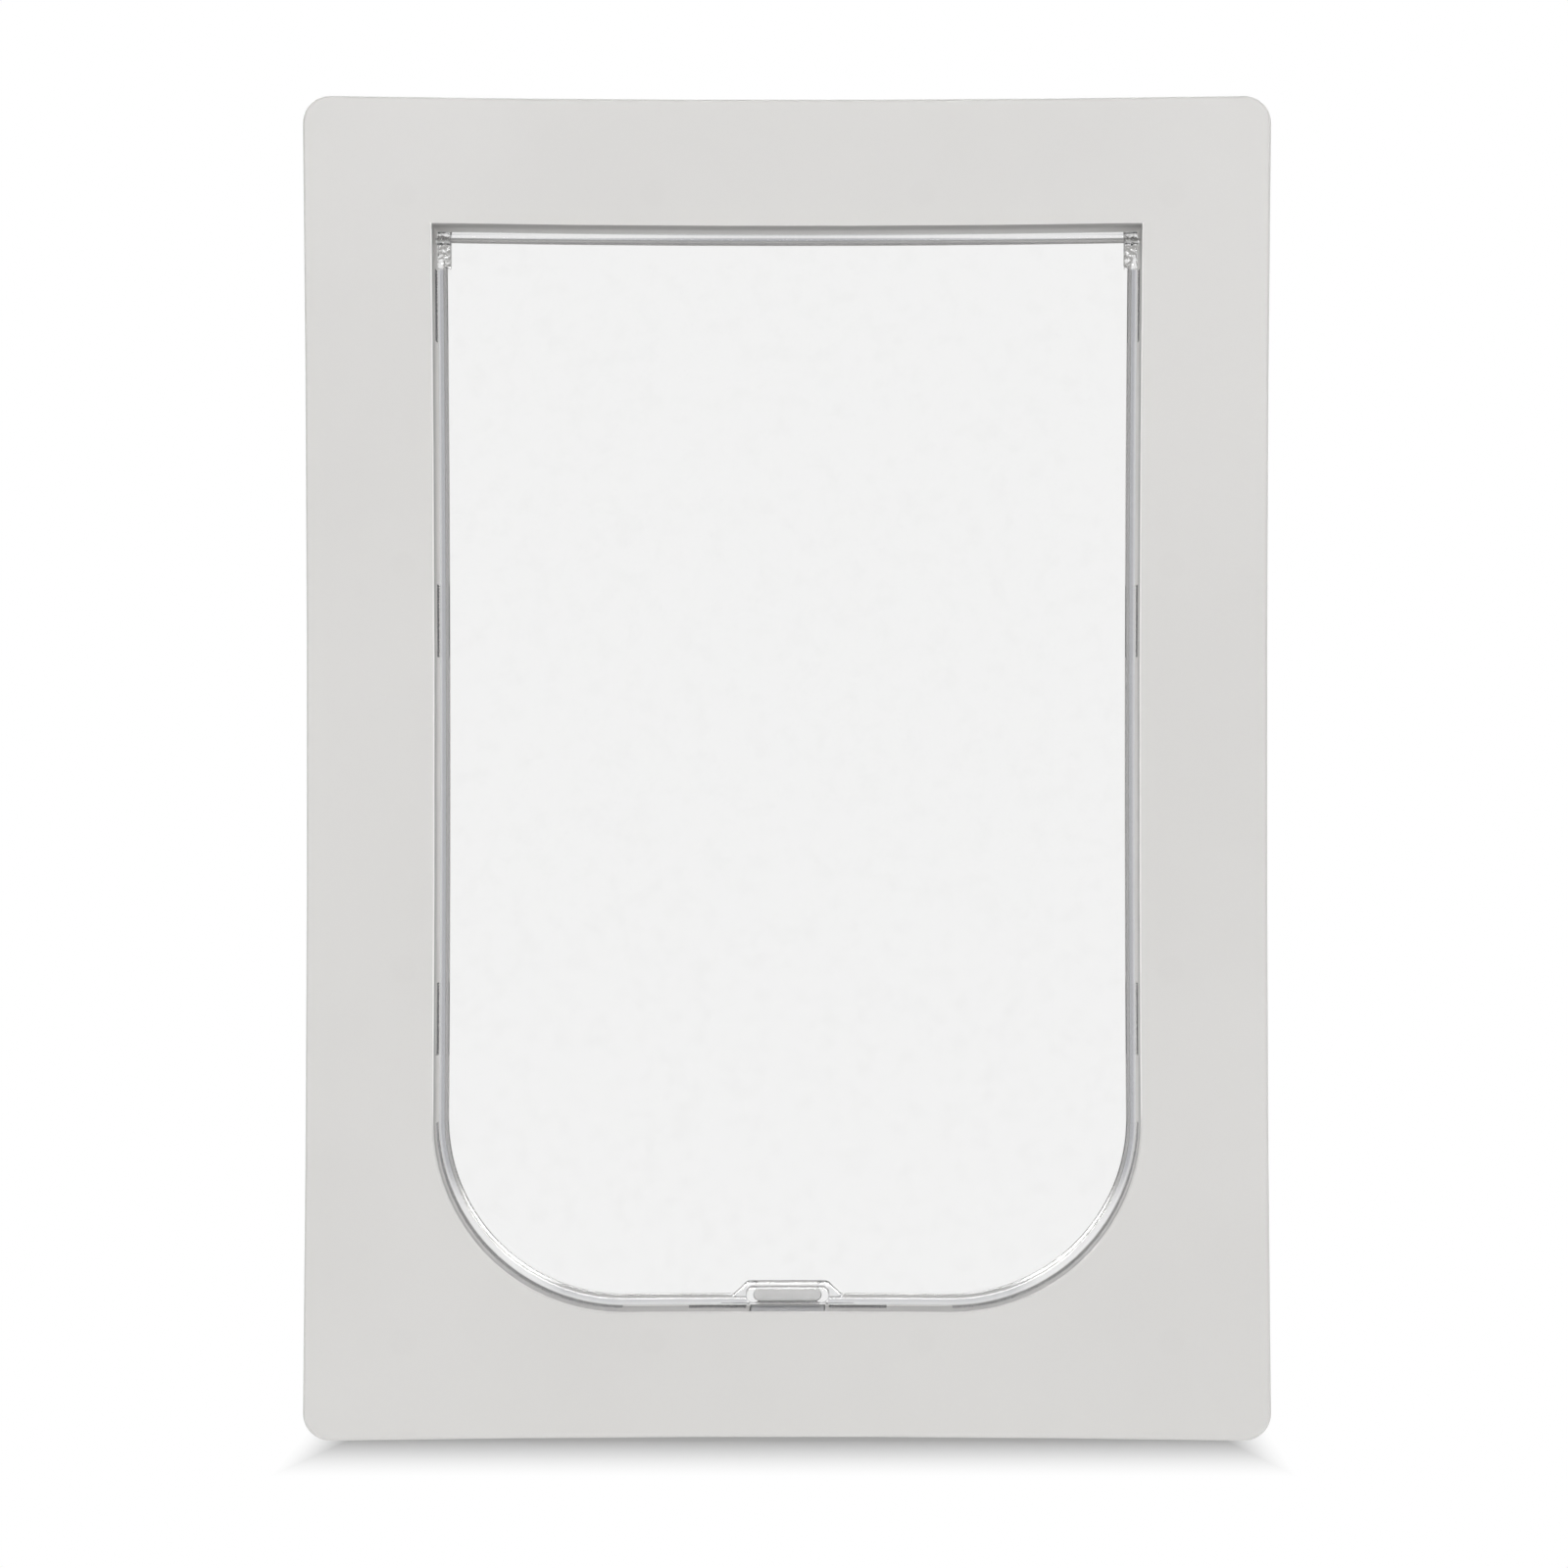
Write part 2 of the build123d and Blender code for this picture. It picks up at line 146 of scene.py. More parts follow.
class Graph:
    """The node tree of one material or world, with one method that adds any node."""

    def __init__(self, owner: bpy.types.Material | bpy.types.World) -> None:
        """Empties the owner's node tree.

        Args:
            owner: The material or world whose tree is built.
        """
        owner.use_nodes = True
        self.tree = owner.node_tree
        self.tree.nodes.clear()

    def node(
        self,
        kind: str,
        settings: dict[str, Any] | None = None,
        inputs: dict[str | int, Any] | None = None,
        output: str | int = 0,
    ) -> Signal:
        """Adds a node, sets its settings first, and then fills its sockets.

        Args:
            kind: The node's type.
            settings: Its properties.
            inputs: Values or signals by socket name or number.
            output: The name or number of the socket to hand on.

        Returns:
            The chosen output.
        """
        node = self.tree.nodes.new(kind)
        for key, value in (settings or {}).items():
            setattr(node, key, value)
        for key, value in (inputs or {}).items():
            if isinstance(value, Signal):
                self.tree.links.new(value.socket, node.inputs[key])
            else:
                node.inputs[key].default_value = value
        return Signal(self, node.outputs[output] if len(node.outputs) else None)

    def axes(self, coordinate: str = "Object") -> tuple[Signal, Signal, Signal]:
        """One of Texture Coordinate's vectors, split; a world's Generated is the ray's direction.

        Args:
            coordinate: The vector's name.

        Returns:
            Its three parts as signals.
        """
        vector = self.node("ShaderNodeTexCoord", output=coordinate)
        split = self.node("ShaderNodeSeparateXYZ", inputs={0: vector})
        return tuple(Signal(self, socket) for socket in split.socket.node.outputs)

    def rays(self) -> tuple[Signal, Signal, Signal]:
        """Which way a point is seen.

        Returns:
            1 or 0 for the camera, for a mirror, and through a clear piece.
        """
        outputs = self.node("ShaderNodeLightPath").socket.node.outputs
        names = ("Is Camera Ray", "Is Glossy Ray", "Is Transmission Ray")
        direct, glossy, through = (Signal(self, outputs[name]) for name in names)
        return direct, glossy * (1.0 - through), through

    def noise(
        self, scale: float, detail: float = 2.0, stretch: Colour = (1.0, 1.0, 1.0), rough: float = 0.5
    ) -> Signal:
        """Noise on Object coordinates.

        Args:
            scale: Number of grains in a metre.
            detail: Octaves.
            stretch: How much the pattern is packed along each axis.
            rough: Strength of the finer octaves.

        Returns:
            The noise, about 0.5 in the middle.
        """
        position = self.node("ShaderNodeTexCoord", output="Object")
        mapped = self.node("ShaderNodeMapping", None, {"Vector": position, "Scale": stretch})
        sockets = {"Vector": mapped, "Scale": scale, "Detail": detail, "Roughness": rough}
        return self.node("ShaderNodeTexNoise", None, sockets)

    def blend(self, share: Signal, first: Signal | Colour, second: Signal | Colour) -> Signal:
        """Mixes two linear colours or colour signals: share is 0 for the first and 1 for the second."""
        ends = [tone if isinstance(tone, Signal) else (*tone, 1.0) for tone in (first, second)]
        return self.node("ShaderNodeMix", {"data_type": "RGBA"}, {0: share, 6: ends[0], 7: ends[1]}, 2)

    def bump(self, height: Signal, distance: float, strength: float, normal: Signal | None = None) -> Signal:
        """A bumped normal.

        Args:
            height: Height between 0 and 1.
            distance: Metres that a height of 1 stands for.
            strength: How much of it shows.
            normal: An earlier bump to build on.

        Returns:
            The normal.
        """
        sockets: dict[str | int, Any] = {"Height": height, "Distance": distance, "Strength": strength}
        if normal is not None:
            sockets["Normal"] = normal
        return self.node("ShaderNodeBump", None, sockets)

    def surface(self, shader: Signal) -> None:
        """Connects a shader to the output."""
        self.node("ShaderNodeOutputMaterial", None, {"Surface": shader})


@dataclass(frozen=True)
class Finish:
    """A finish with its name; each kind of surface below paints itself in paint()."""

    name: str

    def paint(self, graph: Graph) -> Signal:
        """Builds the shader; each finish has its own."""
        raise NotImplementedError

    def material(self) -> bpy.types.Material:
        """The finish as a material, made once.

        Returns:
            The material.
        """
        found = bpy.data.materials.get(self.name)
        if found is not None:
            return found
        made = bpy.data.materials.new(self.name)
        graph = Graph(made)
        graph.surface(self.paint(graph))
        return made

    def dress(self, piece: bpy.types.Object) -> None:
        """Gives every slot of a piece this finish.

        Args:
            piece: The piece.
        """
        made = self.material()
        if not piece.material_slots:
            piece.data.materials.append(made)
        for slot in piece.material_slots:
            slot.material = made


@dataclass(frozen=True)
class MouldedPlastic(Finish):
    """Matte light moulding with a fine grain, faint sinks over the bosses, and painted shade inside the
    opening.

    Bumps holds the depth and strength of grain, clouds and sinks. Sink_places and opening are distances from
    the middle, across and up. The sill's painted shade fades between the two heights of sill and ends at
    sill_depth. The painted edge highlight starts and is full at the first two heights of sides, and the head
    begins at the third, between the places of corner left and right.
    """

    colour: Colour = (0.672, 0.664, 0.65)
    # Darker end of the random mottle, also used for the sinks' painted shade.
    shade: Colour = (0.64, 0.632, 0.618)
    roughness: float = 0.46
    mottle_scale: float = 9.0
    grain_scale: float = 2600.0
    cloud_scale: float = 60.0
    bumps: tuple[tuple[float, float], ...] = ((0.01 * MM, 0.35), (0.03 * MM, 0.5), (0.04 * MM, 0.6))
    sink_places: tuple[tuple[float, float], ...] = ((0.1427, 0.2131), (0.1427, 0.075), (0.05, 0.2131))
    sink_radius: float = 0.0062
    front: float = -0.029
    opening: tuple[float, float] = (0.1336, 0.2044)
    # Colour of the painted shade inside the opening.
    painted_shade: Colour = (0.3, 0.294, 0.288)
    # Colour of the painted highlight on the chamfer down the sides.
    edge: Colour = (0.92, 0.911, 0.898)
    chamfer: float = 0.0006
    painted_shade_depth: float = 0.02
    sill: tuple[float, float] = (-0.2, -0.15)
    sill_depth: float = 0.018
    sides: tuple[float, float, float] = (-0.14, -0.12, 0.2)
    corner: float = 0.1319

    def paint(self, graph: Graph) -> Signal:
        """Grain and sinks as bumps, a slight mottle in colour and roughness, and painted shade in the sinks.

        Just inside the opening a painted highlight lightens the chamfer down the two sides. Painted shade
        darkens the sill in front of the flap, the head's chamfer, and the other walls behind the chamfer,
        fading with depth.

        Args:
            graph: The material's graph.

        Returns:
            The shader.
        """
        x, y, z = graph.axes()
        nearest: Signal | None = None
        for column, row in self.sink_places:
            across, up = x.size() - column, z.size() - row
            away = (across * across + up * up).root()
            nearest = away if nearest is None else nearest.lesser(away)
        on_front = y.ramp(self.front + 0.5 * MM, self.front + 1.5 * MM, 1.0, 0.0)
        sink = nearest.ramp(0.55 * self.sink_radius, self.sink_radius, 1.0, 0.0) * on_front
        mottle = graph.noise(self.mottle_scale, 3.0)
        grain = graph.noise(self.grain_scale)
        clouds = graph.noise(self.cloud_scale)
        bumped: Signal | None = None
        for height, (distance, strength) in zip((grain, clouds, 1.0 - sink), self.bumps):
            bumped = graph.bump(height, distance, strength, bumped)
        # Random mottle, plus painted shade that darkens the sinks.
        tone = mottle.ramp(0.35, 0.65) * 0.6 + sink * 0.25
        width, height = self.opening
        inside = (x.size() - width).greater(z.size() - height).below(0.0, 0.2 * MM)
        depth = y - self.front
        wall = depth.ramp(self.chamfer - 0.1 * MM, self.chamfer + 0.1 * MM)
        # Painted shade on the sill in front of the flap.
        sill_painted_shade = z.ramp(*self.sill, 1.0, 0.0) * depth.below(self.sill_depth, MM)
        low, straight, head = self.sides
        top = z.beyond(head, 0.5 * MM) * x.size().below(self.corner, 0.3 * MM)
        behind = depth.ramp(0.02 * MM, 0.06 * MM)
        # Painted shade on the walls behind the chamfer, fading with depth, and on the head's chamfer.
        wall_painted_shade_fade = depth.ramp(self.chamfer, self.painted_shade_depth, 1.0, 0.0)
        painted_shade_mask = inside * wall.greater(top * behind) * wall_painted_shade_fade.greater(sill_painted_shade)
        # Painted highlight on the chamfer down the two sides.
        painted_edge_highlight = inside * behind * (1.0 - wall) * z.ramp(low, straight) * (1.0 - top)
        colour = graph.blend(tone, self.colour, self.shade)
        colour = graph.blend(painted_edge_highlight, graph.blend(painted_shade_mask, colour, self.painted_shade), self.edge)
        sockets = {
            "Base Color": colour,
            "Roughness": self.roughness + grain * 0.08 + mottle * 0.04,
            "IOR": 1.5,
            "Specular IOR Level": 0.4,
            "Normal": bumped,
        }
        return graph.node("ShaderNodeBsdfPrincipled", None, sockets)


@dataclass(frozen=True)
class ClearPlastic(Finish):
    """Polished clear moulding that lets the lamps' light through, with a grey painted shade where it is
    thicker.

    Bead holds the distances from the middle plane where the painted shade starts and is full. Corner is where
    the knuckles begin, across and up. Head holds the height of the bar's crest, and the distances from it where
    the painted highlight line is full and where it ends. The foot's painted highlight, of strength
    foot_highlight_share, fades between two heights. Bend is a bend's centre and bend_highlight_share its two
    products. Pad is the pad's half width and top.
    """

    colour: Colour = (0.884, 0.884, 0.882)
    scuffed: Colour = (0.866, 0.866, 0.863)
    # Grey painted shade where the flap is thicker.
    painted_bead_shade: Colour = (0.43, 0.435, 0.455)
    ior: float = 1.52
    flow_scale: float = 22.0
    haze_scale: float = 140.0
    craze_scale: float = 620.0
    craze_depth: float = 1.2 * MM
    flow_depth: float = 0.2 * MM
    shadow: Colour = (0.93, 0.93, 0.93)
    middle: float = -0.011
    bead: tuple[float, float] = (0.0019, 0.0025)
    corner: tuple[float, float] = (0.1262, 0.1868)
    head: tuple[float, float, float] = (0.1993, 0.00035, 0.0009)
    foot: tuple[float, float] = (-0.198, -0.19)
    foot_highlight_share: float = 0.45
    bend: tuple[float, float] = (0.062, -0.1328)
    bend_highlight_share: tuple[float, float] = (0.0009, 0.0021)
    pad: tuple[float, float] = (0.0148, -0.1932)

    def paint(self, graph: Graph) -> Signal:
        """A refracting body with flow waves in its skin and crazed knuckles, clear to shadow rays.

        A grey painted shade, standing in for darker surroundings seen through the bead, grows with the distance
        from the flap's middle plane, from the panel to the bead. Painted highlights weaken it along the crest
        of the head bar, in the knuckles and the pad, along the foot, and half way round the two bends, where
        the product of the distances sideways and down from a bend's centre is greatest.

        Args:
            graph: The material's graph.

        Returns:
            The shader.
        """
        x, y, z = graph.axes()
        flow = graph.noise(self.flow_scale, 1.0, (1.0, 1.0, 0.35))
        haze = graph.noise(self.haze_scale, 3.0)
        craze = graph.noise(self.craze_scale)
        knuckle = x.size().beyond(self.corner[0], 0.2 * MM) * z.beyond(self.corner[1], MM)
        sideways = (x.size() - self.bend[0]).greater(0.0)
        bend = (sideways * (self.bend[1] - z).greater(0.0)).ramp(*self.bend_highlight_share)
        pad = x.size().below(self.pad[0], MM) * z.below(self.pad[1], MM)
        level, core, fringe = self.head
        # Painted highlights that lift the grey painted shade: head bar crest, knuckles, pad, foot and bends.
        pale = bend.greater(pad).greater(knuckle).greater((z - level).size().ramp(core, fringe, 1.0, 0.0))
        pale = pale.greater(z.ramp(*self.foot, self.foot_highlight_share, 0.0))
        # Painted shade, grey in the bead, lessened where painted highlights lie.
        painted_bead_shade = (y - self.middle).size().ramp(*self.bead) * (1.0 - 0.9 * pale)
        skin = graph.blend(haze.ramp(0.45, 0.75), self.colour, self.scuffed)
        waves = graph.bump(flow, self.flow_depth, 0.05)
        body = graph.node(
            "ShaderNodeBsdfPrincipled",
            None,
            {
                "Base Color": graph.blend(painted_bead_shade, skin, self.painted_bead_shade),
                "Roughness": haze.ramp(0.5, 0.8, 0.0, 0.03),
                "IOR": self.ior,
                "Transmission Weight": 1.0,
                "Normal": graph.bump(craze * knuckle, self.craze_depth, 0.6, waves),
            },
        )
        clear = graph.node("ShaderNodeBsdfTransparent", None, {"Color": (*self.shadow, 1.0)})
        shadow = graph.node("ShaderNodeLightPath", output="Is Shadow Ray")
        return graph.node("ShaderNodeMixShader", None, {0: shadow, 1: body, 2: clear})


@dataclass(frozen=True)
class Metal(Finish):
    """Bare or plated metal with fine marks that run along one axis."""

    colour: Colour = (0.62, 0.62, 0.61)
    worn: Colour = (0.5, 0.5, 0.49)
    roughness: float = 0.28
    stretch: Colour = (1.0, 1.0, 1.0)
    marks_scale: float = 3000.0
    marks_depth: float = 0.008 * MM
    blotch_scale: float = 300.0

    def paint(self, graph: Graph) -> Signal:
        """Tool marks as stretched noise in bump and roughness, and blotches in colour.

        Args:
            graph: The material's graph.

        Returns:
            The shader.
        """
        marks = graph.noise(self.marks_scale, stretch=self.stretch)
        blotch = graph.noise(self.blotch_scale, 3.0)
        sockets = {
            "Base Color": graph.blend(blotch.ramp(0.4, 0.7), self.colour, self.worn),
            "Metallic": 1.0,
            "Roughness": self.roughness + marks * 0.12,
            "Normal": graph.bump(marks, self.marks_depth, 0.5),
        }
        return graph.node("ShaderNodeBsdfPrincipled", None, sockets)


@dataclass(frozen=True)
class Ferrite(Finish):
    """Grey sintered magnet with a granular, slightly chalky skin."""

    colour: Colour = (0.25, 0.25, 0.255)
    chalk: Colour = (0.34, 0.34, 0.345)
    grain_scale: float = 1800.0
    grain_depth: float = 0.04 * MM

    def paint(self, graph: Graph) -> Signal:
        """Coarse grain in colour and bump.

        Args:
            graph: The material's graph.

        Returns:
            The shader.
        """
        grain = graph.noise(self.grain_scale, 4.0, rough=0.7)
        sockets = {
            "Base Color": graph.blend(grain.ramp(0.45, 0.75), self.colour, self.chalk),
            "Roughness": 0.55 + grain * 0.2,
            "Normal": graph.bump(grain, self.grain_depth, 0.6),
        }
        return graph.node("ShaderNodeBsdfPrincipled", None, sockets)


@dataclass(frozen=True)
class Pile(Finish):
    """Grey woven pile, with lighter and darker tufts here and there."""

    colour: Colour = (0.2, 0.198, 0.2)
    tips: Colour = (0.33, 0.327, 0.33)
    tuft_scale: float = 1500.0
    tuft_depth: float = 0.1 * MM

    def paint(self, graph: Graph) -> Signal:
        """Tuft to tuft variation in colour, with a soft sheen.

        Args:
            graph: The material's graph.

        Returns:
            The shader.
        """
        tuft = graph.noise(self.tuft_scale)
        sockets = {
            "Base Color": graph.blend(tuft.ramp(0.4, 0.7), self.colour, self.tips),
            "Roughness": 0.8 + tuft * 0.15,
            "Sheen Weight": 0.3,
            "Normal": graph.bump(tuft, self.tuft_depth, 0.5),
        }
        return graph.node("ShaderNodeBsdfPrincipled", None, sockets)


FRAME_PLASTIC = MouldedPlastic("frame_plastic_matte")
CLEAR = ClearPlastic("clear_flap_plastic")
PIN_STEEL = Metal("turned_pin_steel", (0.88, 0.88, 0.875), (0.76, 0.76, 0.755), stretch=(1.0, 0.05, 0.05))
NICKEL = Metal("nickel_plate", (0.95, 0.945, 0.94), (0.91, 0.905, 0.895), 0.32)
ZINC = Metal("bright_zinc", (0.66, 0.67, 0.68), (0.52, 0.53, 0.52), 0.26)
FERRITE = Ferrite("sintered_ferrite")
PILE = Pile("grey_pile")
# A lighter copy of the pile for the corner strips: painted light that lifts the shade in the corner gaps.
PILE_PAINTED_LIGHTER = Pile("pale_grey_pile", (0.38, 0.378, 0.382), (0.52, 0.518, 0.522))

NODE_FINISHES: dict[str, Finish] = {
    "outer_frame": FRAME_PLASTIC,
    "inner_frame": FRAME_PLASTIC,
    "flap": CLEAR,
    "hinge_pin_left": PIN_STEEL,
    "hinge_pin_right": PIN_STEEL,
    "flap_magnet": NICKEL,
    "keeper_magnet": FERRITE,
    "side_strips_left": PILE,
    "side_strips_right": PILE,
    "corner_strip_left": PILE_PAINTED_LIGHTER,
    "corner_strip_right": PILE_PAINTED_LIGHTER,
    "sill_strips": PILE,
    "frame_screws": ZINC,
}


def rounded_path(corners: Sequence[Sequence[float]], radii: Sequence[float], steps: int) -> np.ndarray:
    """A polyline whose inner corners are rounded by arcs.

    At each corner the arc starts and ends radius * tan(turn / 2) away. Its points are the spherical blend of
    the two vectors from its centre to those ends, so the path may have two or three coordinates.

    Args:
        corners: The polyline's points.
        radii: One radius for each inner corner.
        steps: Pieces in each arc.

    Returns:
        The path's points, one row each.
    """
    places = np.array(corners, float)
    rows = [places[:1]]
    share = np.linspace(0.0, 1.0, steps + 1)[:, None]
    for before, corner, after, radius in zip(places, places[1:], places[2:], radii):
        back = (before - corner) / np.linalg.norm(before - corner)
        ahead = (after - corner) / np.linalg.norm(after - corner)
        half_angle = math.acos(float(np.clip(back @ ahead, -1.0, 1.0))) / 2
        reach = radius / math.tan(half_angle)
        middle = (back + ahead) / np.linalg.norm(back + ahead)
        centre = corner + middle * radius / math.sin(half_angle)
        first = corner + back * reach - centre
        last = corner + ahead * reach - centre
        turn = math.pi - 2 * half_angle
        arc = np.sin((1 - share) * turn) * first + np.sin(share * turn) * last
        rows.append(centre + arc / math.sin(turn))
    rows.append(places[-1:])
    return np.vstack(rows)


def ring_surface(name: str, rings: np.ndarray, sharp: float = 30.0) -> bpy.types.Object:
    """A closed surface through a stack of rings, shut by a flat face at each end.

    Vertex (i, j) is point j of ring i, and each face joins four neighbours on that grid. The faces are turned
    round if the volume, which is the sum of a . (b x c) / 6 over the fan of each face, comes out negative.

    Args:
        name: The piece's name.
        rings: Array of ring number, point number and coordinate.
        sharp: Angle in degrees above which an edge stays sharp.

    Returns:
        The new object.
    """
    count, points = rings.shape[:2]
    number = np.arange(count * points).reshape(count, points)
    ahead = np.roll(number, -1, axis=1)
    quads = np.stack([number[:-1], ahead[:-1], ahead[1:], number[1:]], axis=-1).reshape(-1, 4)
    places = rings.reshape(-1, 3)
    fans = [quads[:, [0, 1, 2]], quads[:, [0, 2, 3]]]
    for end in (number[0][::-1], number[-1]):
        fans.append(np.stack([np.full(points - 2, end[0]), end[1:-1], end[2:]], axis=-1))
    a, b, c = (places[np.vstack(fans)[:, k]] for k in range(3))
    faces = [*quads.tolist(), number[0][::-1].tolist(), number[-1].tolist()]
    if np.einsum("ij,ij->", a, np.cross(b, c)) < 0:
        faces = [face[::-1] for face in faces]
    mesh = bpy.data.meshes.new(name)
    mesh.from_pydata(places.tolist(), [], faces)
    made = placed(name, mesh)
    smooth(made, sharp)
    return made


def placed(name: str, data: bpy.types.ID) -> bpy.types.Object:
    """Puts a mesh, lamp or camera into the scene.

    Args:
        name: The object's name.
        data: What it shows.

    Returns:
        The new object.
    """
    made = bpy.data.objects.new(name, data)
    bpy.context.scene.collection.objects.link(made)
    return made


def smooth(piece: bpy.types.Object, sharp: float) -> None:
    """Shades a piece smooth, with edges over a number of degrees kept sharp."""
    piece.data.shade_smooth()
    piece.data.set_sharp_from_angle(angle=math.radians(sharp))


def joined(pieces: list[bpy.types.Object], name: str) -> bpy.types.Object:
    """Joins separate pieces into one object.

    Args:
        pieces: The objects to join; the first one stays.
        name: Its new name.

    Returns:
        The joined object.
    """
    with bpy.context.temp_override(active_object=pieces[0], selected_editable_objects=pieces):
        bpy.ops.object.join()
    pieces[0].name = name
    return pieces[0]


def modify(piece: bpy.types.Object, kind: str, **settings: Any) -> None:
    """Adds a modifier to a piece and applies it.

    Args:
        piece: The piece that is changed.
        kind: The modifier's type.
        settings: Its properties.
    """
    modifier = piece.modifiers.new(kind.lower(), kind)
    for key, value in settings.items():
        setattr(modifier, key, value)
    with bpy.context.temp_override(object=piece, active_object=piece):
        bpy.ops.object.modifier_apply(modifier=modifier.name)


def cut(piece: bpy.types.Object, tools: list[bpy.types.Object], operation: str) -> None:
    """Applies exact Booleans with a list of tools, which are then removed.

    Args:
        piece: The piece that is changed.
        tools: The solids to add or take away.
        operation: UNION or DIFFERENCE.
    """
    for tool in tools:
        modify(piece, "BOOLEAN", solver="EXACT", operation=operation, object=tool)
        bpy.data.objects.remove(tool)


def lathe(profile: np.ndarray, around: int) -> np.ndarray:
    """Rings of a turned form: each (height, radius) row becomes a circle of that radius round the X axis.

    Args:
        profile: Rows of height along X and radius.
        around: Points in a circle.

    Returns:
        The rings.
    """
    angle = np.linspace(0.0, 2 * math.pi, around, endpoint=False)
    height, radius = profile[:, :1], profile[:, 1:2]
    flat = np.ones_like(angle)
    return np.stack([height * flat, radius * np.cos(angle), radius * np.sin(angle)], axis=-1)


def cad_points(node: str) -> np.ndarray:
    """The vertices of a CAD node.

    Args:
        node: Its name.

    Returns:
        Their places, one row each.
    """
    mesh = bpy.data.objects[node].data
    places = np.empty(len(mesh.vertices) * 3, np.float32)
    mesh.vertices.foreach_get("co", places)
    return places.reshape(-1, 3)


def walk(rows: np.ndarray) -> np.ndarray:
    """The length walked along a polyline to each of its points."""
    return np.concatenate([[0.0], np.cumsum(np.linalg.norm(np.diff(rows, axis=0), axis=1))])


def along(rows: np.ndarray, travel: np.ndarray, at: np.ndarray) -> np.ndarray:
    """Points on a path of x and z, whose rows lie at travel, at the given lengths."""
    return np.column_stack([np.interp(at, travel, rows[:, 0]), np.interp(at, travel, rows[:, 1])])


@dataclass(frozen=True)
class BowedOutline:
    """The opening's outline: four slightly hollow sides, square above and with large arcs at the sill."""

    half_width: float = 132.0 * MM
    top: float = 202.0 * MM
    bottom: float = -202.8 * MM
    bow: float = 1.1 * MM
    sill_radius: float = 70.0 * MM
    head_radius: float = 1.2 * MM
    side_steps: int = 36
    arc_steps: int = 44
    head_steps: int = 5

    def half(self, inset: float, drop: float = 0.0) -> np.ndarray:
        """The right half, from the middle of the head to the middle of the sill, moved inwards by inset.

        A side at height z stands half_width - bow * (1 - t * t) from the middle, where t is z's share of the
        half height, and head and sill follow the same rule. The sill arc is tangent to side and sill: its
        centre is the point that lies one radius along both normals, which a few rounds of stepping find.

        Args:
            inset: How far the outline is moved inwards.
            drop: How much further in its head and sill are besides.

        Returns:
            Rows of x and z.
        """
        width = self.half_width - inset
        top = self.top - inset - drop
        bottom = self.bottom + inset + drop
        middle, reach = (top + bottom) / 2, (top - bottom) / 2
        radius = self.sill_radius - inset
        head = max(self.head_radius - inset, 0.3 * self.head_radius)

        def side(z: np.ndarray | float) -> np.ndarray | float:
            """Half width at height z."""
            return width - self.bow * (1 - ((z - middle) / reach) ** 2)

        def hollow(x: np.ndarray | float) -> np.ndarray | float:
            """Inward curve of head and sill at x."""
            return self.bow * (1 - (x / width) ** 2)

        high, low = bottom + radius, width - radius
        for _ in range(6):
            lean = 2 * self.bow * (high - middle) / reach**2
            fall = -2 * self.bow * low / width**2
            from_side = np.array([1.0, -lean]) / math.hypot(1.0, lean)
            from_sill = np.array([fall, -1.0]) / math.hypot(1.0, fall)
            centre_x = side(high) - radius * from_side[0]
            centre_z = bottom + hollow(low) - radius * from_sill[1]
            high = centre_z + radius * from_side[1]
            low = centre_x + radius * from_sill[0]
        x = np.linspace(0.0, width - head, self.side_steps)
        head_row = np.column_stack([x, top - hollow(x)])
        turn = np.linspace(math.pi / 2, 0.0, self.head_steps)[1:-1]
        corner = np.column_stack([width - head + head * np.cos(turn), top - head + head * np.sin(turn)])
        z = np.linspace(top - head, high, self.side_steps)
        side_row = np.column_stack([side(z), z])
        ends = [math.atan2(normal[1], normal[0]) for normal in (from_side, from_sill)]
        angle = np.linspace(ends[0], ends[1], self.arc_steps)[1:-1]
        arc = np.column_stack([centre_x + radius * np.cos(angle), centre_z + radius * np.sin(angle)])
        x = np.linspace(low, 0.0, self.side_steps)
        sill_row = np.column_stack([x, bottom + hollow(x)])
        return np.vstack([head_row, corner, side_row, arc, sill_row])

    def ring(self, inset: float, depth: float, drop: float = 0.0) -> np.ndarray:
        """The whole outline, moved inwards as half() says, as a ring at a depth along Y."""
        return at_depth(both_halves(self.half(inset, drop)), (0.0, depth, 0.0))


OPENING = BowedOutline()


def stadium(width: float, height: float, inset: float, steps: int = 14) -> np.ndarray:
    """A bar with half-round ends: each end is a half circle of radius height / 2 - inset.

    Args:
        width: Overall width.
        height: Overall height.
        inset: How far the outline is moved inwards.
        steps: Points in each end.

    Returns:
        Rows of x and z round the middle.
    """
    angle = np.linspace(-math.pi / 2, math.pi / 2, steps)
    radius = height / 2 - inset
    right = np.column_stack([(width - height) / 2 + radius * np.cos(angle), radius * np.sin(angle)])
    return np.vstack([right, -right])


def both_halves(right: np.ndarray) -> np.ndarray:
    """A whole outline from its right half, whose ends lie on the middle line; the left half mirrors it."""
    return np.vstack([right, right[-2:0:-1] * (-1.0, 1.0)])


def at_depth(outline: np.ndarray, middle: Colour) -> np.ndarray:
    """Rows of x and z as a ring that faces outdoors, with its middle moved from the origin to a place."""
    x, z = outline[:, 0] + middle[0], outline[:, 1] + middle[2]
    return np.column_stack([x, np.full(len(outline), middle[1]), z])


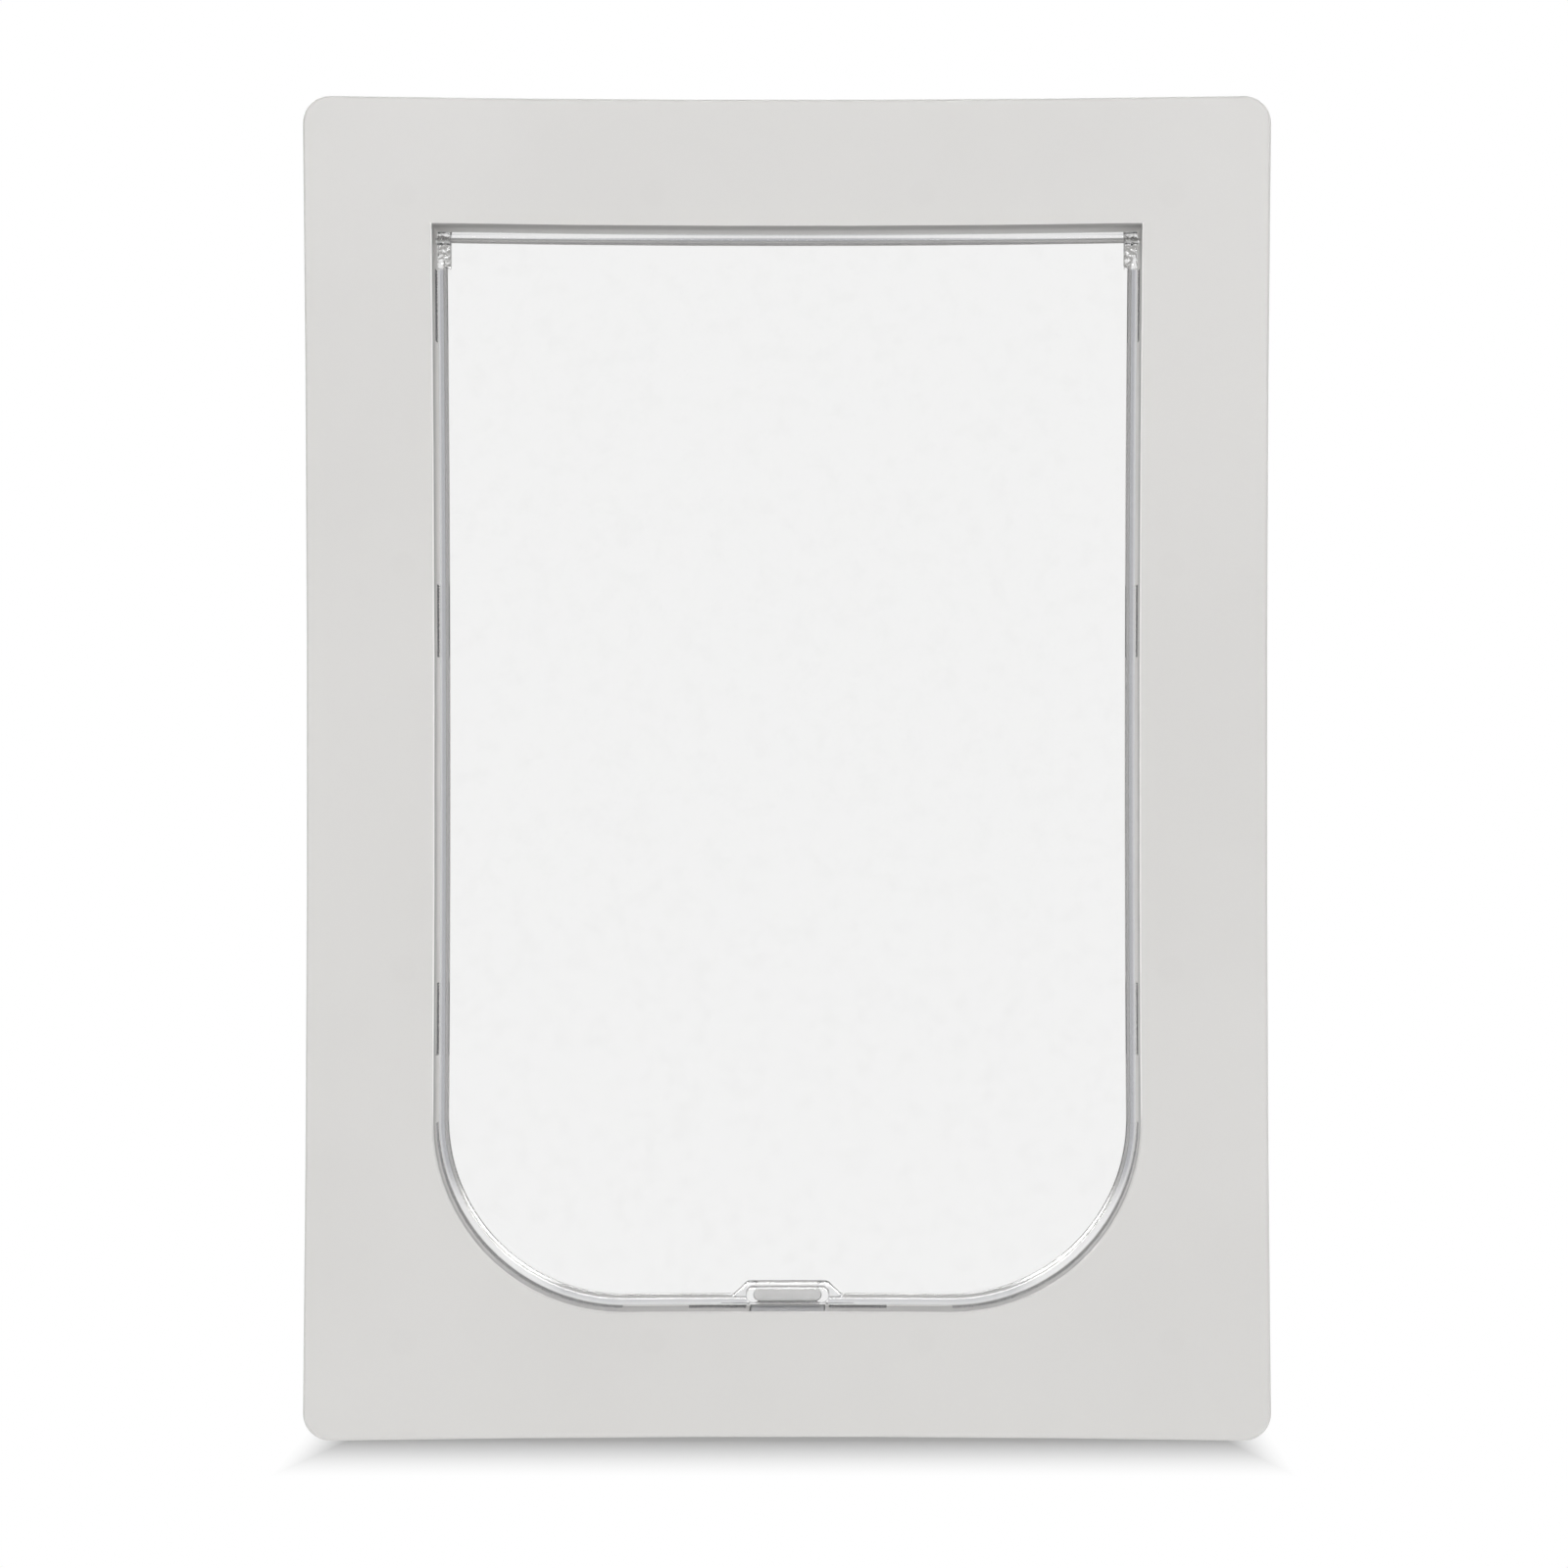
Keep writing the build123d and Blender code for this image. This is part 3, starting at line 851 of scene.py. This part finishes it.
@dataclass(frozen=True)
class FlapMoulding:
    """The clear flap: thin panel, step and rounded bead, with knuckles, foot tab and magnet pocket.

    The section's corners lie at the insets crest, slope and rim, with half the thickness there of half_rim,
    half_slope and half_panel. Pad holds width, height and depth, and pocket width and height. Tab_outline
    holds the corners of the tab's right half, measured from the flap's foot.
    """

    middle_y: float
    hinge_z: float
    foot: float
    gap: float = 0.7 * MM
    crest: float = 2.2 * MM
    slope: float = 2.7 * MM
    rim: float = 3.55 * MM
    end_drop: float = 0.45 * MM
    half_rim: float = 2.5 * MM
    half_slope: float = 1.9 * MM
    half_panel: float = 1.3 * MM
    rounds: tuple[float, ...] = (1.75 * MM, 0.8 * MM, 0.8 * MM, 0.8 * MM)
    knuckle_face: float = 131.2 * MM
    knuckle_width: float = 5.1 * MM
    knuckle_radius: float = 3.5 * MM
    knuckle_drop: float = 8.2 * MM
    knuckle_soft: float = 0.4 * MM
    bore_radius: float = 1.3 * MM
    bore_depth: float = 4.7 * MM
    pad: tuple[float, float, float] = (31.4 * MM, 5.9 * MM, 7.6 * MM)
    pad_rise: float = 4.15 * MM
    pad_soft: float = 0.8 * MM
    pocket: tuple[float, float] = (25.6 * MM, 4.9 * MM)
    pocket_wall: float = 1.6 * MM
    pocket_soft: float = 0.2 * MM
    tab_outline: tuple[tuple[float, float], ...] = (
        (26.5 * MM, 0.9 * MM),
        (22.6 * MM, 2.0 * MM),
        (15.1 * MM, 9.2 * MM),
    )
    tab_height: float = 9.2 * MM
    tab_half: float = 2.2 * MM
    tab_soft: float = 1.3 * MM
    tab_rounds: tuple[float, ...] = (0.1 * MM, 4.0 * MM, 3.0 * MM)
    rib_places: tuple[float, ...] = (-11.6 * MM, -6.5 * MM, 6.5 * MM, 11.6 * MM)
    rib_width: float = 0.9 * MM
    rib_half: float = 0.6 * MM
    rib_soft: float = 0.2 * MM
    magnet_play: float = 0.08 * MM
    magnet_soft: float = 0.35 * MM

    def section(self) -> np.ndarray:
        """The flap's section from its edge to the flat panel.

        A large round rises to a narrow crest, and a slope with a slight hollow falls from there to the panel.

        Returns:
            Rows of inset, half thickness and end drop, from the edge inwards.
        """
        drop = self.end_drop
        corners = [
            (0.0, 0.0, 0.0),
            (0.0, self.half_rim, 0.0),
            (self.crest, self.half_rim, drop),
            (self.slope, self.half_slope, drop),
            (self.rim, self.half_panel, drop),
            (self.rim + 1.5 * MM, self.half_panel, drop),
        ]
        return rounded_path(corners, self.rounds, 7)

    def plate(self) -> bpy.types.Object:
        """The panel with its step and bead: the section and its mirror image carried round the outline.

        Returns:
            The surface.
        """
        half = self.section()
        rows = np.vstack([half[::-1], half[1:] * (1.0, -1.0, 1.0)])
        rings = [OPENING.ring(self.gap + inset, self.middle_y + depth, drop) for inset, depth, drop in rows]
        return ring_surface("flap_clear", np.stack(rings))

    def knuckle(self, side: int) -> bpy.types.Object:
        """One knuckle: the hull of a large and a small circle seen from the side, with softened ends.

        The straight flanks touch both circles, so the arcs end at the angle whose sine is the radii's
        difference over the drop between the centres.

        Args:
            side: 1 for the right, -1 for the left.

        Returns:
            The knuckle.
        """
        small = self.half_slope
        lean = math.asin((self.knuckle_radius - small) / self.knuckle_drop)
        upper = np.linspace(-lean, math.pi + lean, 22)
        lower = np.linspace(math.pi + lean, 2 * math.pi - lean, 12)
        ends = self.knuckle_face - self.knuckle_width, self.knuckle_face
        corners = [(1.0, ends[0]), (0.0, ends[0]), (0.0, ends[1]), (1.0, ends[1])]
        profile = rounded_path(corners, [self.knuckle_soft] * 2, 4)
        rings = []
        for inset, x in profile[1:-1]:
            big, little = self.knuckle_radius - inset, small - inset
            y = np.concatenate([big * np.cos(upper), little * np.cos(lower)])
            z = np.concatenate([big * np.sin(upper), little * np.sin(lower) - self.knuckle_drop])
            rings.append(np.column_stack([np.full(len(y), side * x), y + self.middle_y, z + self.hinge_z]))
        return ring_surface("knuckle", np.stack(rings))

    def tab(self) -> bpy.types.Object:
        """The foot tab, whose outline flares out of the bead, rises at a slant and rounds over above.

        Returns:
            The tab.
        """
        foot = np.array([0.0, self.foot])
        flare, flank, shoulder = (np.array(corner) + foot for corner in self.tab_outline)
        rings = []
        for inset, depth in slab_profile(self.tab_half, self.tab_soft):
            sideways, crown = (inset, 0.0), (0.0, shoulder[1] - inset)
            corners = [(0.0, flare[1]), flare - sideways, flank - sideways, shoulder - inset, crown]
            right = rounded_path(corners, self.tab_rounds, 9)
            rings.append(at_depth(both_halves(right), (0.0, self.middle_y + depth, 0.0)))
        return ring_surface("tab", np.stack(rings))

    def bar(
        self, name: str, size: tuple[float, float], front: float, back: float, soft: float
    ) -> bpy.types.Object:
        """A round-ended bar at the pad's height.

        Args:
            name: Its name.
            size: Width and height.
            front: Its outdoor face along Y.
            back: Its indoor face along Y.
            soft: Radius of its edges.

        Returns:
            The bar.
        """
        y, z = (front + back) / 2, self.foot + self.pad_rise
        profile = slab_profile((back - front) / 2, soft)
        rings = [at_depth(stadium(*size, inset), (0.0, y + depth, z)) for inset, depth in profile]
        return ring_surface(name, np.stack(rings))

    def ribs(self) -> list[bpy.types.Object]:
        """The four small upright ribs between the pad and the tab's shoulder.

        Returns:
            The ribs.
        """
        made = []
        low = self.foot + self.pad_rise + self.pad[1] / 2 - 0.4 * MM
        high = self.foot + self.tab_height - 0.5 * MM
        for x in self.rib_places:
            y, z = self.middle_y - self.tab_half, (low + high) / 2
            rings = []
            for inset, depth in slab_profile(self.rib_half, self.rib_soft):
                upright = stadium(high - low, self.rib_width, inset, 6)[:, ::-1]
                rings.append(at_depth(upright, (x, y + depth, z)))
            made.append(ring_surface("rib", np.stack(rings)))
        return made

    def bore(self, side: int) -> bpy.types.Object:
        """The blind bore for a hinge pin, as a turned tool.

        Args:
            side: 1 for the right, -1 for the left.

        Returns:
            The tool.
        """
        start, end = self.knuckle_face - self.bore_depth, self.knuckle_face + MM
        profile = np.array([(side * start, self.bore_radius), (side * end, self.bore_radius)])
        rings = lathe(profile, 32) + np.array([0.0, self.middle_y, self.hinge_z])
        return ring_surface("bore", rings)

    def build(self) -> bpy.types.Object:
        """Joins the forms into one clear moulding, cuts its pocket and bores, and evens its shading.

        Returns:
            The flap.
        """
        flap = self.plate()
        front = self.middle_y - self.pad[2] / 2
        back = self.middle_y + self.pad[2] / 2
        pad = self.bar("pad", self.pad[:2], front, back, self.pad_soft)
        cut(flap, [self.knuckle(1), self.knuckle(-1), self.tab(), pad, *self.ribs()], "UNION")
        pocket = self.bar("pocket", self.pocket, front + self.pocket_wall, back + MM, self.pocket_soft)
        cut(flap, [pocket, self.bore(1), self.bore(-1)], "DIFFERENCE")
        smooth(flap, 34.0)
        modify(flap, "WEIGHTED_NORMAL", keep_sharp=True)
        CLEAR.dress(flap)
        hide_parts("flap")
        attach(flap, Body.FLAP.value)
        return flap

    def magnet(self) -> bpy.types.Object:
        """The plated bar magnet in the pocket, with softened edges.

        Returns:
            The magnet.
        """
        low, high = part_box("flap_magnet")
        size = (high[0] - low[0], high[2] - low[2])
        front = low[1] + self.magnet_play
        magnet = self.bar("flap_magnet_plated", size, front, high[1], self.magnet_soft)
        NICKEL.dress(magnet)
        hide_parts("flap_magnet")
        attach(magnet, Body.FLAP.value)
        return magnet


def slab_profile(half: float, soft: float) -> np.ndarray:
    """Rows of inset and depth, from back to front, of a slab of a half thickness with soft round edges."""
    corners = [(2 * soft, half), (0.0, half), (0.0, -half), (2 * soft, -half)]
    return rounded_path(corners, [soft, soft], 5)[1:-1]


@dataclass(frozen=True)
class HingePins:
    """Two turned pins with low domed heads."""

    around: int = 36
    head: float = 1.2 * MM
    axis: float = 0.02 * MM
    rounds: tuple[float, ...] = (0.35 * MM, 0.1 * MM, 0.12 * MM, 0.6 * MM)

    def build(self) -> list[bpy.types.Object]:
        """Turns each pin from its node's box: head outwards, shank inwards, with softened ends.

        Returns:
            The pins.
        """
        made = []
        for hand, side in (("left", -1), ("right", 1)):
            node = f"hinge_pin_{hand}"
            low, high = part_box(node)
            tip, top = sorted((abs(low[0]), abs(high[0])))
            radius = (high[2] - low[2]) / 2
            middle = np.array([0.0, (low[1] + high[1]) / 2, (low[2] + high[2]) / 2])
            shank, neck, axis = radius / 2, top - self.head, self.axis
            corners = [(tip, axis), (tip, shank), (neck, shank), (neck, radius), (top, radius), (top, axis)]
            profile = rounded_path(corners, self.rounds, 5)
            rings = lathe(profile, self.around) * (side, 1.0, 1.0) + middle
            pin = ring_surface(f"{node}_turned", rings, 40.0)
            PIN_STEEL.dress(pin)
            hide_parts(node)
            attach(pin, Body.FRAME.value)
            made.append(pin)
        return made


@dataclass(frozen=True)
class DraughtStrips:
    """Pile strips in the tunnel's grooves: a woven backing and rows of leaning tufts.

    Floor, backing and tip are insets from the opening's outline: of the groove's floor, the backing's face
    and the tufts' ends. Between is the least distance that parts one strip from the next.
    """

    nodes: tuple[str, ...] = (
        "side_strips_left",
        "side_strips_right",
        "corner_strip_left",
        "corner_strip_right",
        "sill_strips",
    )
    floor: float = -0.98 * MM
    backing: float = -0.55 * MM
    tip: float = 0.22 * MM
    spacing: float = 0.62 * MM
    rows: int = 9
    tuft_radius: float = 0.36 * MM
    lean: float = 0.35 * MM
    division: float = 1.5 * MM
    between: float = 29.0 * MM
    seed: int = 7

    def strip(self, name: str, node: str, keep: np.ndarray, side: int) -> list[bpy.types.Object]:
        """Backing and tufts along one run of the outline.

        A tuft is a square blade that narrows to a point: four corners at the backing, four smaller ones half
        way up, moved by its lean, and one tip. All tufts are computed at once as arrays.

        Args:
            name: Name for the pieces.
            node: The node that gives the strip's depth.
            keep: The first and last place along the outline, in metres from the head.
            side: 1 for the right half, -1 for the left.

        Returns:
            The two pieces.
        """
        low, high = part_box(node)
        base, roots, tips = (OPENING.half(inset) for inset in (self.floor, self.backing, self.tip))
        travel = walk(roots)
        chain = np.random.default_rng(self.seed)
        at = np.linspace(keep[0], keep[1], max(int((keep[1] - keep[0]) / self.division), 4))
        under, over = along(base, travel, at), along(roots, travel, at)
        edges = ((under, low[1]), (under, high[1]), (over, high[1]), (over, low[1]))
        rings = [np.column_stack([side * line[:, 0], np.full(len(at), y), line[:, 1]]) for line, y in edges]
        backing = ring_surface(f"{name}_backing", np.stack(rings, axis=1))
        spots = np.arange(keep[0] + self.tuft_radius, keep[1] - self.tuft_radius, self.spacing)
        depths = np.linspace(low[1] + self.tuft_radius, high[1] - self.tuft_radius, self.rows)
        at, depth = (grid.ravel() for grid in np.meshgrid(spots, depths))
        at = at + chain.uniform(-0.2, 0.2, at.shape) * self.spacing
        depth = np.clip(depth + chain.uniform(-0.2, 0.2, at.shape) * MM, depths[0], depths[-1])
        root, top = along(roots, travel, at), along(tips, travel, at)
        reach = chain.uniform(0.75, 1.0, at.shape)[:, None]
        push = chain.uniform(-1.0, 1.0, (len(at), 2)) * self.lean
        up = (top - root) * reach
        tangent = np.column_stack([-up[:, 1], up[:, 0]]) / np.linalg.norm(up, axis=1)[:, None]
        levels = []
        for rise, narrow, bent in ((0.0, 1.0, 0.0), (0.6, 0.7, 0.4), (1.0, 0.0, 1.0)):
            centre = root + up * rise + tangent * (push[:, :1] * bent)
            for across, deep in ((1, 1), (-1, 1), (-1, -1), (1, -1)):
                corner = centre + tangent * (across * self.tuft_radius * narrow)
                y = np.clip(depth + deep * self.tuft_radius * narrow + push[:, 1] * bent, low[1], high[1])
                levels.append(np.column_stack([side * corner[:, 0], y, corner[:, 1]]))
                if narrow == 0.0:
                    break
        places = np.stack(levels, axis=1)
        quads = [(0, 1, 5, 4), (1, 2, 6, 5), (2, 3, 7, 6), (3, 0, 4, 7), (3, 2, 1, 0)]
        points = [(4, 5, 8), (5, 6, 8), (6, 7, 8), (7, 4, 8)]
        first = np.arange(len(at))[:, None] * 9
        faces = [(first + np.array(face)).tolist() for face in quads + points]
        mesh = bpy.data.meshes.new(name)
        mesh.from_pydata(places.reshape(-1, 3).tolist(), [], [face for group in faces for face in group])
        if side > 0:
            mesh.flip_normals()
        return [backing, placed(name, mesh)]

    def runs(self, node: str) -> list[tuple[np.ndarray, int]]:
        """Where a node's strips run: stretches along the outline that lie inside the node's own box.

        Args:
            node: The strip's node.

        Returns:
            First and last travel along the right half, and the side, for each stretch.
        """
        places = cad_points(node)
        outline = OPENING.half(self.backing)
        travel = walk(outline)
        fine = np.linspace(0.0, travel[-1], 4000)
        line = along(outline, travel, fine)
        found = []
        for side in (-1, 1):
            mine = places[places[:, 0] * side > 0]
            if not len(mine):
                continue
            gaps = np.linalg.norm(mine[:, None, [0, 2]] * (side, 1.0) - line[None], axis=2)
            marks = np.sort(fine[gaps.argmin(axis=1)])
            groups = np.split(marks, np.where(np.diff(marks) > self.between)[0] + 1)
            found += [(group[[0, -1]], side) for group in groups if group[-1] - group[0] > MM]
        return found

    def build(self) -> list[bpy.types.Object]:
        """Builds every strip and joins the pieces of each node.

        Returns:
            One object for each node.
        """
        made = []
        for node in self.nodes:
            pieces = []
            for number, (keep, side) in enumerate(self.runs(node)):
                pieces += self.strip(f"{node}_{number}", node, keep, side)
            strip = joined(pieces, f"{node}_pile")
            NODE_FINISHES[node].dress(strip)
            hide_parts(node)
            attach(strip, Body.FRAME.value)
            made.append(strip)
        return made


@dataclass(frozen=True)
class FrameScrews:
    """Countersunk screws with a coarse thread and a cross recess, made once and set in every hole.

    Head, radius and core are radii: of the head, the thread's crest and its root. Arm is half the width of
    the recess and span its reach. Point is the length of the tip below the thread, head_rows the radii of
    the rings on the head's top, and grid the side of the squares that sort the CAD's points by screw.
    """

    length: float = 55.0 * MM
    radius: float = 1.9 * MM
    head: float = 4.0 * MM
    core: float = 1.45 * MM
    pitch: float = 1.8 * MM
    thread: float = 38.0 * MM
    arm: float = 0.5 * MM
    span: float = 2.3 * MM
    recess: float = 1.7 * MM
    point: float = 4.0 * MM
    head_rows: tuple[float, ...] = tuple(row * MM for row in (0.05, 0.45, 0.55, 1.2, 2.1, 2.4, 3.7))
    grid: float = 12.0 * MM
    around: int = 24

    def rings(self) -> np.ndarray:
        """One screw along -Y from its head at the origin.

        Down the thread the radius is core + (radius - core) * ridge, where ridge is a triangle wave of
        height / pitch - angle / full turn, cut off at 0 and 1. The thread fades in over two pitches and
        tapers over the last three. On the head's top a point sinks by the recess depth where it lies within
        an arm's half width of either axis and inside the span.

        Returns:
            The rings.
        """
        angle = np.linspace(0.0, 2 * math.pi, self.around, endpoint=False)
        cone = self.head - self.radius
        threaded = np.arange(self.length - self.thread, self.length - self.point, self.pitch / 6)
        top = np.array(self.head_rows)
        heights = np.concatenate([np.zeros(len(top)), [0.15 * MM, cone], [cone + MM], threaded, [self.length]])
        plain = [self.head - 0.1 * MM, self.radius, self.radius * 0.86]
        radii = np.concatenate([top, plain, np.full(len(threaded), self.radius), [0.2 * MM]])
        height = heights[:, None] * np.ones_like(angle)
        radius = radii[:, None] * np.ones_like(angle)
        first = len(top) + len(plain)
        turn = height[first:-1] / self.pitch - angle / (2 * math.pi)
        ridge = np.clip(1.6 - 3.2 * np.abs(turn - np.round(turn)) * 2, 0.0, 1.0)
        fade = np.clip((height[first:-1] - threaded[0]) / (2 * self.pitch), 0.0, 1.0)
        taper = np.clip((self.length - height[first:-1]) / (3 * self.pitch), 0.35, 1.0)
        radius[first:-1] = (self.core + (self.radius - self.core) * ridge * fade) * taper
        x, z = radius * np.cos(angle), radius * np.sin(angle)
        nearest = np.minimum(np.abs(x), np.abs(z))
        sunk = np.clip((self.arm - nearest) / (0.3 * self.arm), 0.0, 1.0)
        sunk *= np.clip((self.span - radius) / (0.35 * self.span), 0.0, 1.0)
        height[: len(top)] += self.recess * sunk[: len(top)]
        return np.stack([x, -height, z], axis=-1)

    def build(self) -> bpy.types.Object:
        """Sets a screw at each head of the CAD node and joins them.

        Returns:
            The screws.
        """
        places = cad_points("frame_screws")
        face = places[places[:, 1] > places[:, 1].max() - 0.01 * MM]
        cells = np.round(face[:, [0, 2]] / self.grid).astype(int)
        one = self.rings()
        made = []
        for cell in np.unique(cells, axis=0):
            mine = face[(cells == cell).all(axis=1)]
            centre = (mine.min(axis=0) + mine.max(axis=0)) / 2
            made.append(ring_surface("screw", one + centre, 50.0))
        screws = joined(made, "frame_screws_threaded")
        ZINC.dress(screws)
        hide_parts("frame_screws")
        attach(screws, Body.FRAME.value)
        return screws


@dataclass(frozen=True)
class Studio:
    """Camera, lamps, world and floor.

    A window holds the direction of its middle across, ahead and up, the cosines where it is full and where it
    ends, and its glow. A lamp holds its name, place, width and height, and watts. The card holds the distances
    where its glow starts to fade and ends, and the glow.
    """

    front: float = -0.029
    distance: float = 1.75
    field: float = 0.5824
    image: int = 1600
    centre_pixel: tuple[float, float] = (803.0, 784.0)
    stand: tuple[float, float] = (0.023, -0.0058)
    sensor: float = 36.0
    floor_level: float = -0.24982
    ambient: float = 0.42
    behind: float = 1.1
    room: float = 0.65
    steep: tuple[float, float] = (0.5, 0.95)
    windows: tuple[tuple[float, ...], ...] = (
        (0.0, 0.82, 0.572, 0.9205, 0.891, 14.0),
        (0.6, 0.53, 0.6, 0.978, 0.899, 18.0),
    )
    lamps: tuple[tuple[str, Colour, tuple[float, float], float], ...] = (
        ("left_lamp", (-1.3, -1.8, 0.0), (1.0, 0.48), 7.0),
        ("right_lamp", (1.3, -1.8, 0.0), (1.0, 0.48), 7.2),
        ("above_lamp", (0.0, 0.45, 1.9), (1.4, 1.4), 11.0),
    )
    floor_reach: float = 6.0
    floor_colour: Colour = (0.92, 0.92, 0.92)
    # Painted shade: the floor's colour for the camera, darker than for other rays.
    floor_shade: Colour = (0.28, 0.28, 0.28)
    # Share of plain white glow left where the painted shadow is deepest.
    floor_light: float = 0.25
    card: tuple[float, float, float] = (0.4, 0.6, 0.8)
    half_depth: float = 0.029
    stand_width: float = 0.163
    shadow_end: float = 0.092
    shadow_power: float = 1.5
    side_fade: float = 5.0

    def camera(self) -> None:
        """Sets the camera level in front of the unit, at the photograph's angle, with a slight shift.

        The field is the width that the image spans at the front face, so the lens is sensor times distance
        over field. The shift moves the frame so that the unit's middle falls on its pixel.
        """
        data = bpy.data.cameras.new("camera")
        data.sensor_width = self.sensor
        data.lens = self.sensor * self.distance / self.field
        data.clip_start = 0.05
        data.clip_end = 50.0
        per_pixel = self.field / self.image
        middle = self.image / 2
        wanted_x = (middle - self.centre_pixel[0]) * per_pixel
        wanted_z = (self.centre_pixel[1] - middle) * per_pixel
        data.shift_x = (wanted_x - self.stand[0]) / self.field
        data.shift_y = (wanted_z - self.stand[1]) / self.field
        camera = placed("camera", data)
        camera.location = (self.stand[0], self.front - self.distance, self.stand[1])
        camera.rotation_euler = (math.pi / 2, 0.0, 0.0)
        bpy.context.scene.camera = camera

    def lamp(self, name: str, place: Colour, size: tuple[float, float], power: float) -> None:
        """Adds a rectangular soft lamp that faces the unit, and that mirrors and clear pieces don't show.

        Args:
            name: Its name.
            place: Where it stands.
            size: Its width and height.
            power: Watts.
        """
        data = bpy.data.lights.new(name, "AREA")
        data.shape = "RECTANGLE"
        data.size, data.size_y = size
        data.energy = power
        lamp = placed(name, data)
        lamp.visible_glossy = lamp.visible_transmission = False
        lamp.location = place
        tilt = math.atan2(math.hypot(place[0], place[1]), place[2])
        lamp.rotation_euler = (tilt, 0.0, math.atan2(place[1], place[0]) + math.pi / 2)

    def world(self) -> None:
        """White for the camera and behind clear pieces, even light for the unit, and windows in mirrors.

        The backdrop behind the unit gives more light than the room in front of it. Steeply up and down the
        surroundings turn grey in mirrors and clear pieces. The windows stand high in front, on both sides,
        and each is a smooth step of the cosine between the ray and its middle.
        """
        made = bpy.data.worlds.new("studio")
        bpy.context.scene.world = made
        graph = Graph(made)
        x, y, z = graph.axes("Generated")
        direct, mirrored, through = graph.rays()
        room = z.size().ramp(*self.steep, 1.0, self.room)
        even = y.ramp(0.0, 0.4, self.ambient, self.behind)
        strength = even + direct * (1.0 - even) + (mirrored + through) * (room - even)
        for across, ahead, up, inner, outer, glow in self.windows:
            cosine = x.size() * across - y * ahead + z * up
            strength = strength + mirrored * cosine.ramp(outer, inner, 0.0, glow)
        shader = graph.node("ShaderNodeBackground", None, {"Color": (1.0, 1.0, 1.0, 1.0), "Strength": strength})
        graph.node("ShaderNodeOutputWorld", None, {"Surface": shader})

    def floor(self) -> None:
        """A wide pale floor at the unit's foot, with the unit's shadow round it and plain white further off.

        Near the unit it glows a little for diffuse rays, as a white card does. The shadow is partly cast by the
        lamps
        and partly painted: nearer the unit the camera sees a darker floor and less plain white glow. Mirrors
        and clear pieces look through it into the room.
        """
        mesh = bpy.data.meshes.new("floor")
        reach, level = self.floor_reach, self.floor_level
        corners = [(x * reach, y * reach, level) for x, y in ((-1, -1), (1, -1), (1, 1), (-1, 1))]
        mesh.from_pydata(corners, [], [(0, 1, 2, 3)])
        floor = placed("floor", mesh)
        material = bpy.data.materials.new("pale_floor")
        graph = Graph(material)
        x, y, _ = graph.axes()
        direct, mirrored, through = graph.rays()
        away = (y.size() - self.half_depth).greater((x.size() - self.stand_width) * self.side_fade)
        # Painted shadow: 1 at the unit, fading to 0 with distance from it.
        painted_shadow = (1.0 - away * (1.0 / self.shadow_end)).greater(0.0).lesser(1.0)
        # The camera sees the floor painted darker, deepening its shadow.
        shade = graph.blend(direct, self.floor_colour, self.floor_shade)
        matte = graph.node("ShaderNodeBsdfDiffuse", None, {"Color": shade})
        plain = graph.node("ShaderNodeEmission", None, {"Strength": 1.0})
        bare = y.size().ramp(*self.card, 0.0) * (1.0 - direct)
        # Near the unit the camera sees less plain white glow: painted shadow.
        bare = bare + direct * (1.0 - painted_shadow.power(self.shadow_power) * (1.0 - self.floor_light))
        seen = graph.node("ShaderNodeMixShader", None, {0: bare, 1: matte, 2: plain})
        clear = graph.node("ShaderNodeBsdfTransparent")
        graph.surface(graph.node("ShaderNodeMixShader", None, {0: mirrored + through, 1: seen, 2: clear}))
        mesh.materials.append(material)

    def build(self) -> None:
        """Builds the whole studio."""
        bpy.context.scene.view_settings.view_transform = "Standard"
        self.camera()
        self.world()
        self.floor()
        for lamp in self.lamps:
            self.lamp(*lamp)


def main() -> None:
    """Loads the frame, builds and dresses each sub-assembly, and sets up the studio."""
    logging.basicConfig(level=logging.INFO, format="%(name)s: %(message)s")
    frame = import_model()
    for node, finish in NODE_FINISHES.items():
        finish.dress(frame["nodes"][node])
        LOG.info("dressed %s", node)
    hinge = frame["joints"][0]["pos_m"]
    moulding = FlapMoulding(middle_y=hinge[1], hinge_z=hinge[2], foot=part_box("flap")[0][2])
    pieces = [moulding.build(), moulding.magnet(), *HingePins().build(), *DraughtStrips().build()]
    pieces.append(FrameScrews().build())
    for piece in pieces:
        LOG.info("built %s with %d faces", piece.name, len(piece.data.polygons))
    Studio().build()


if __name__ == "__main__":
    main()
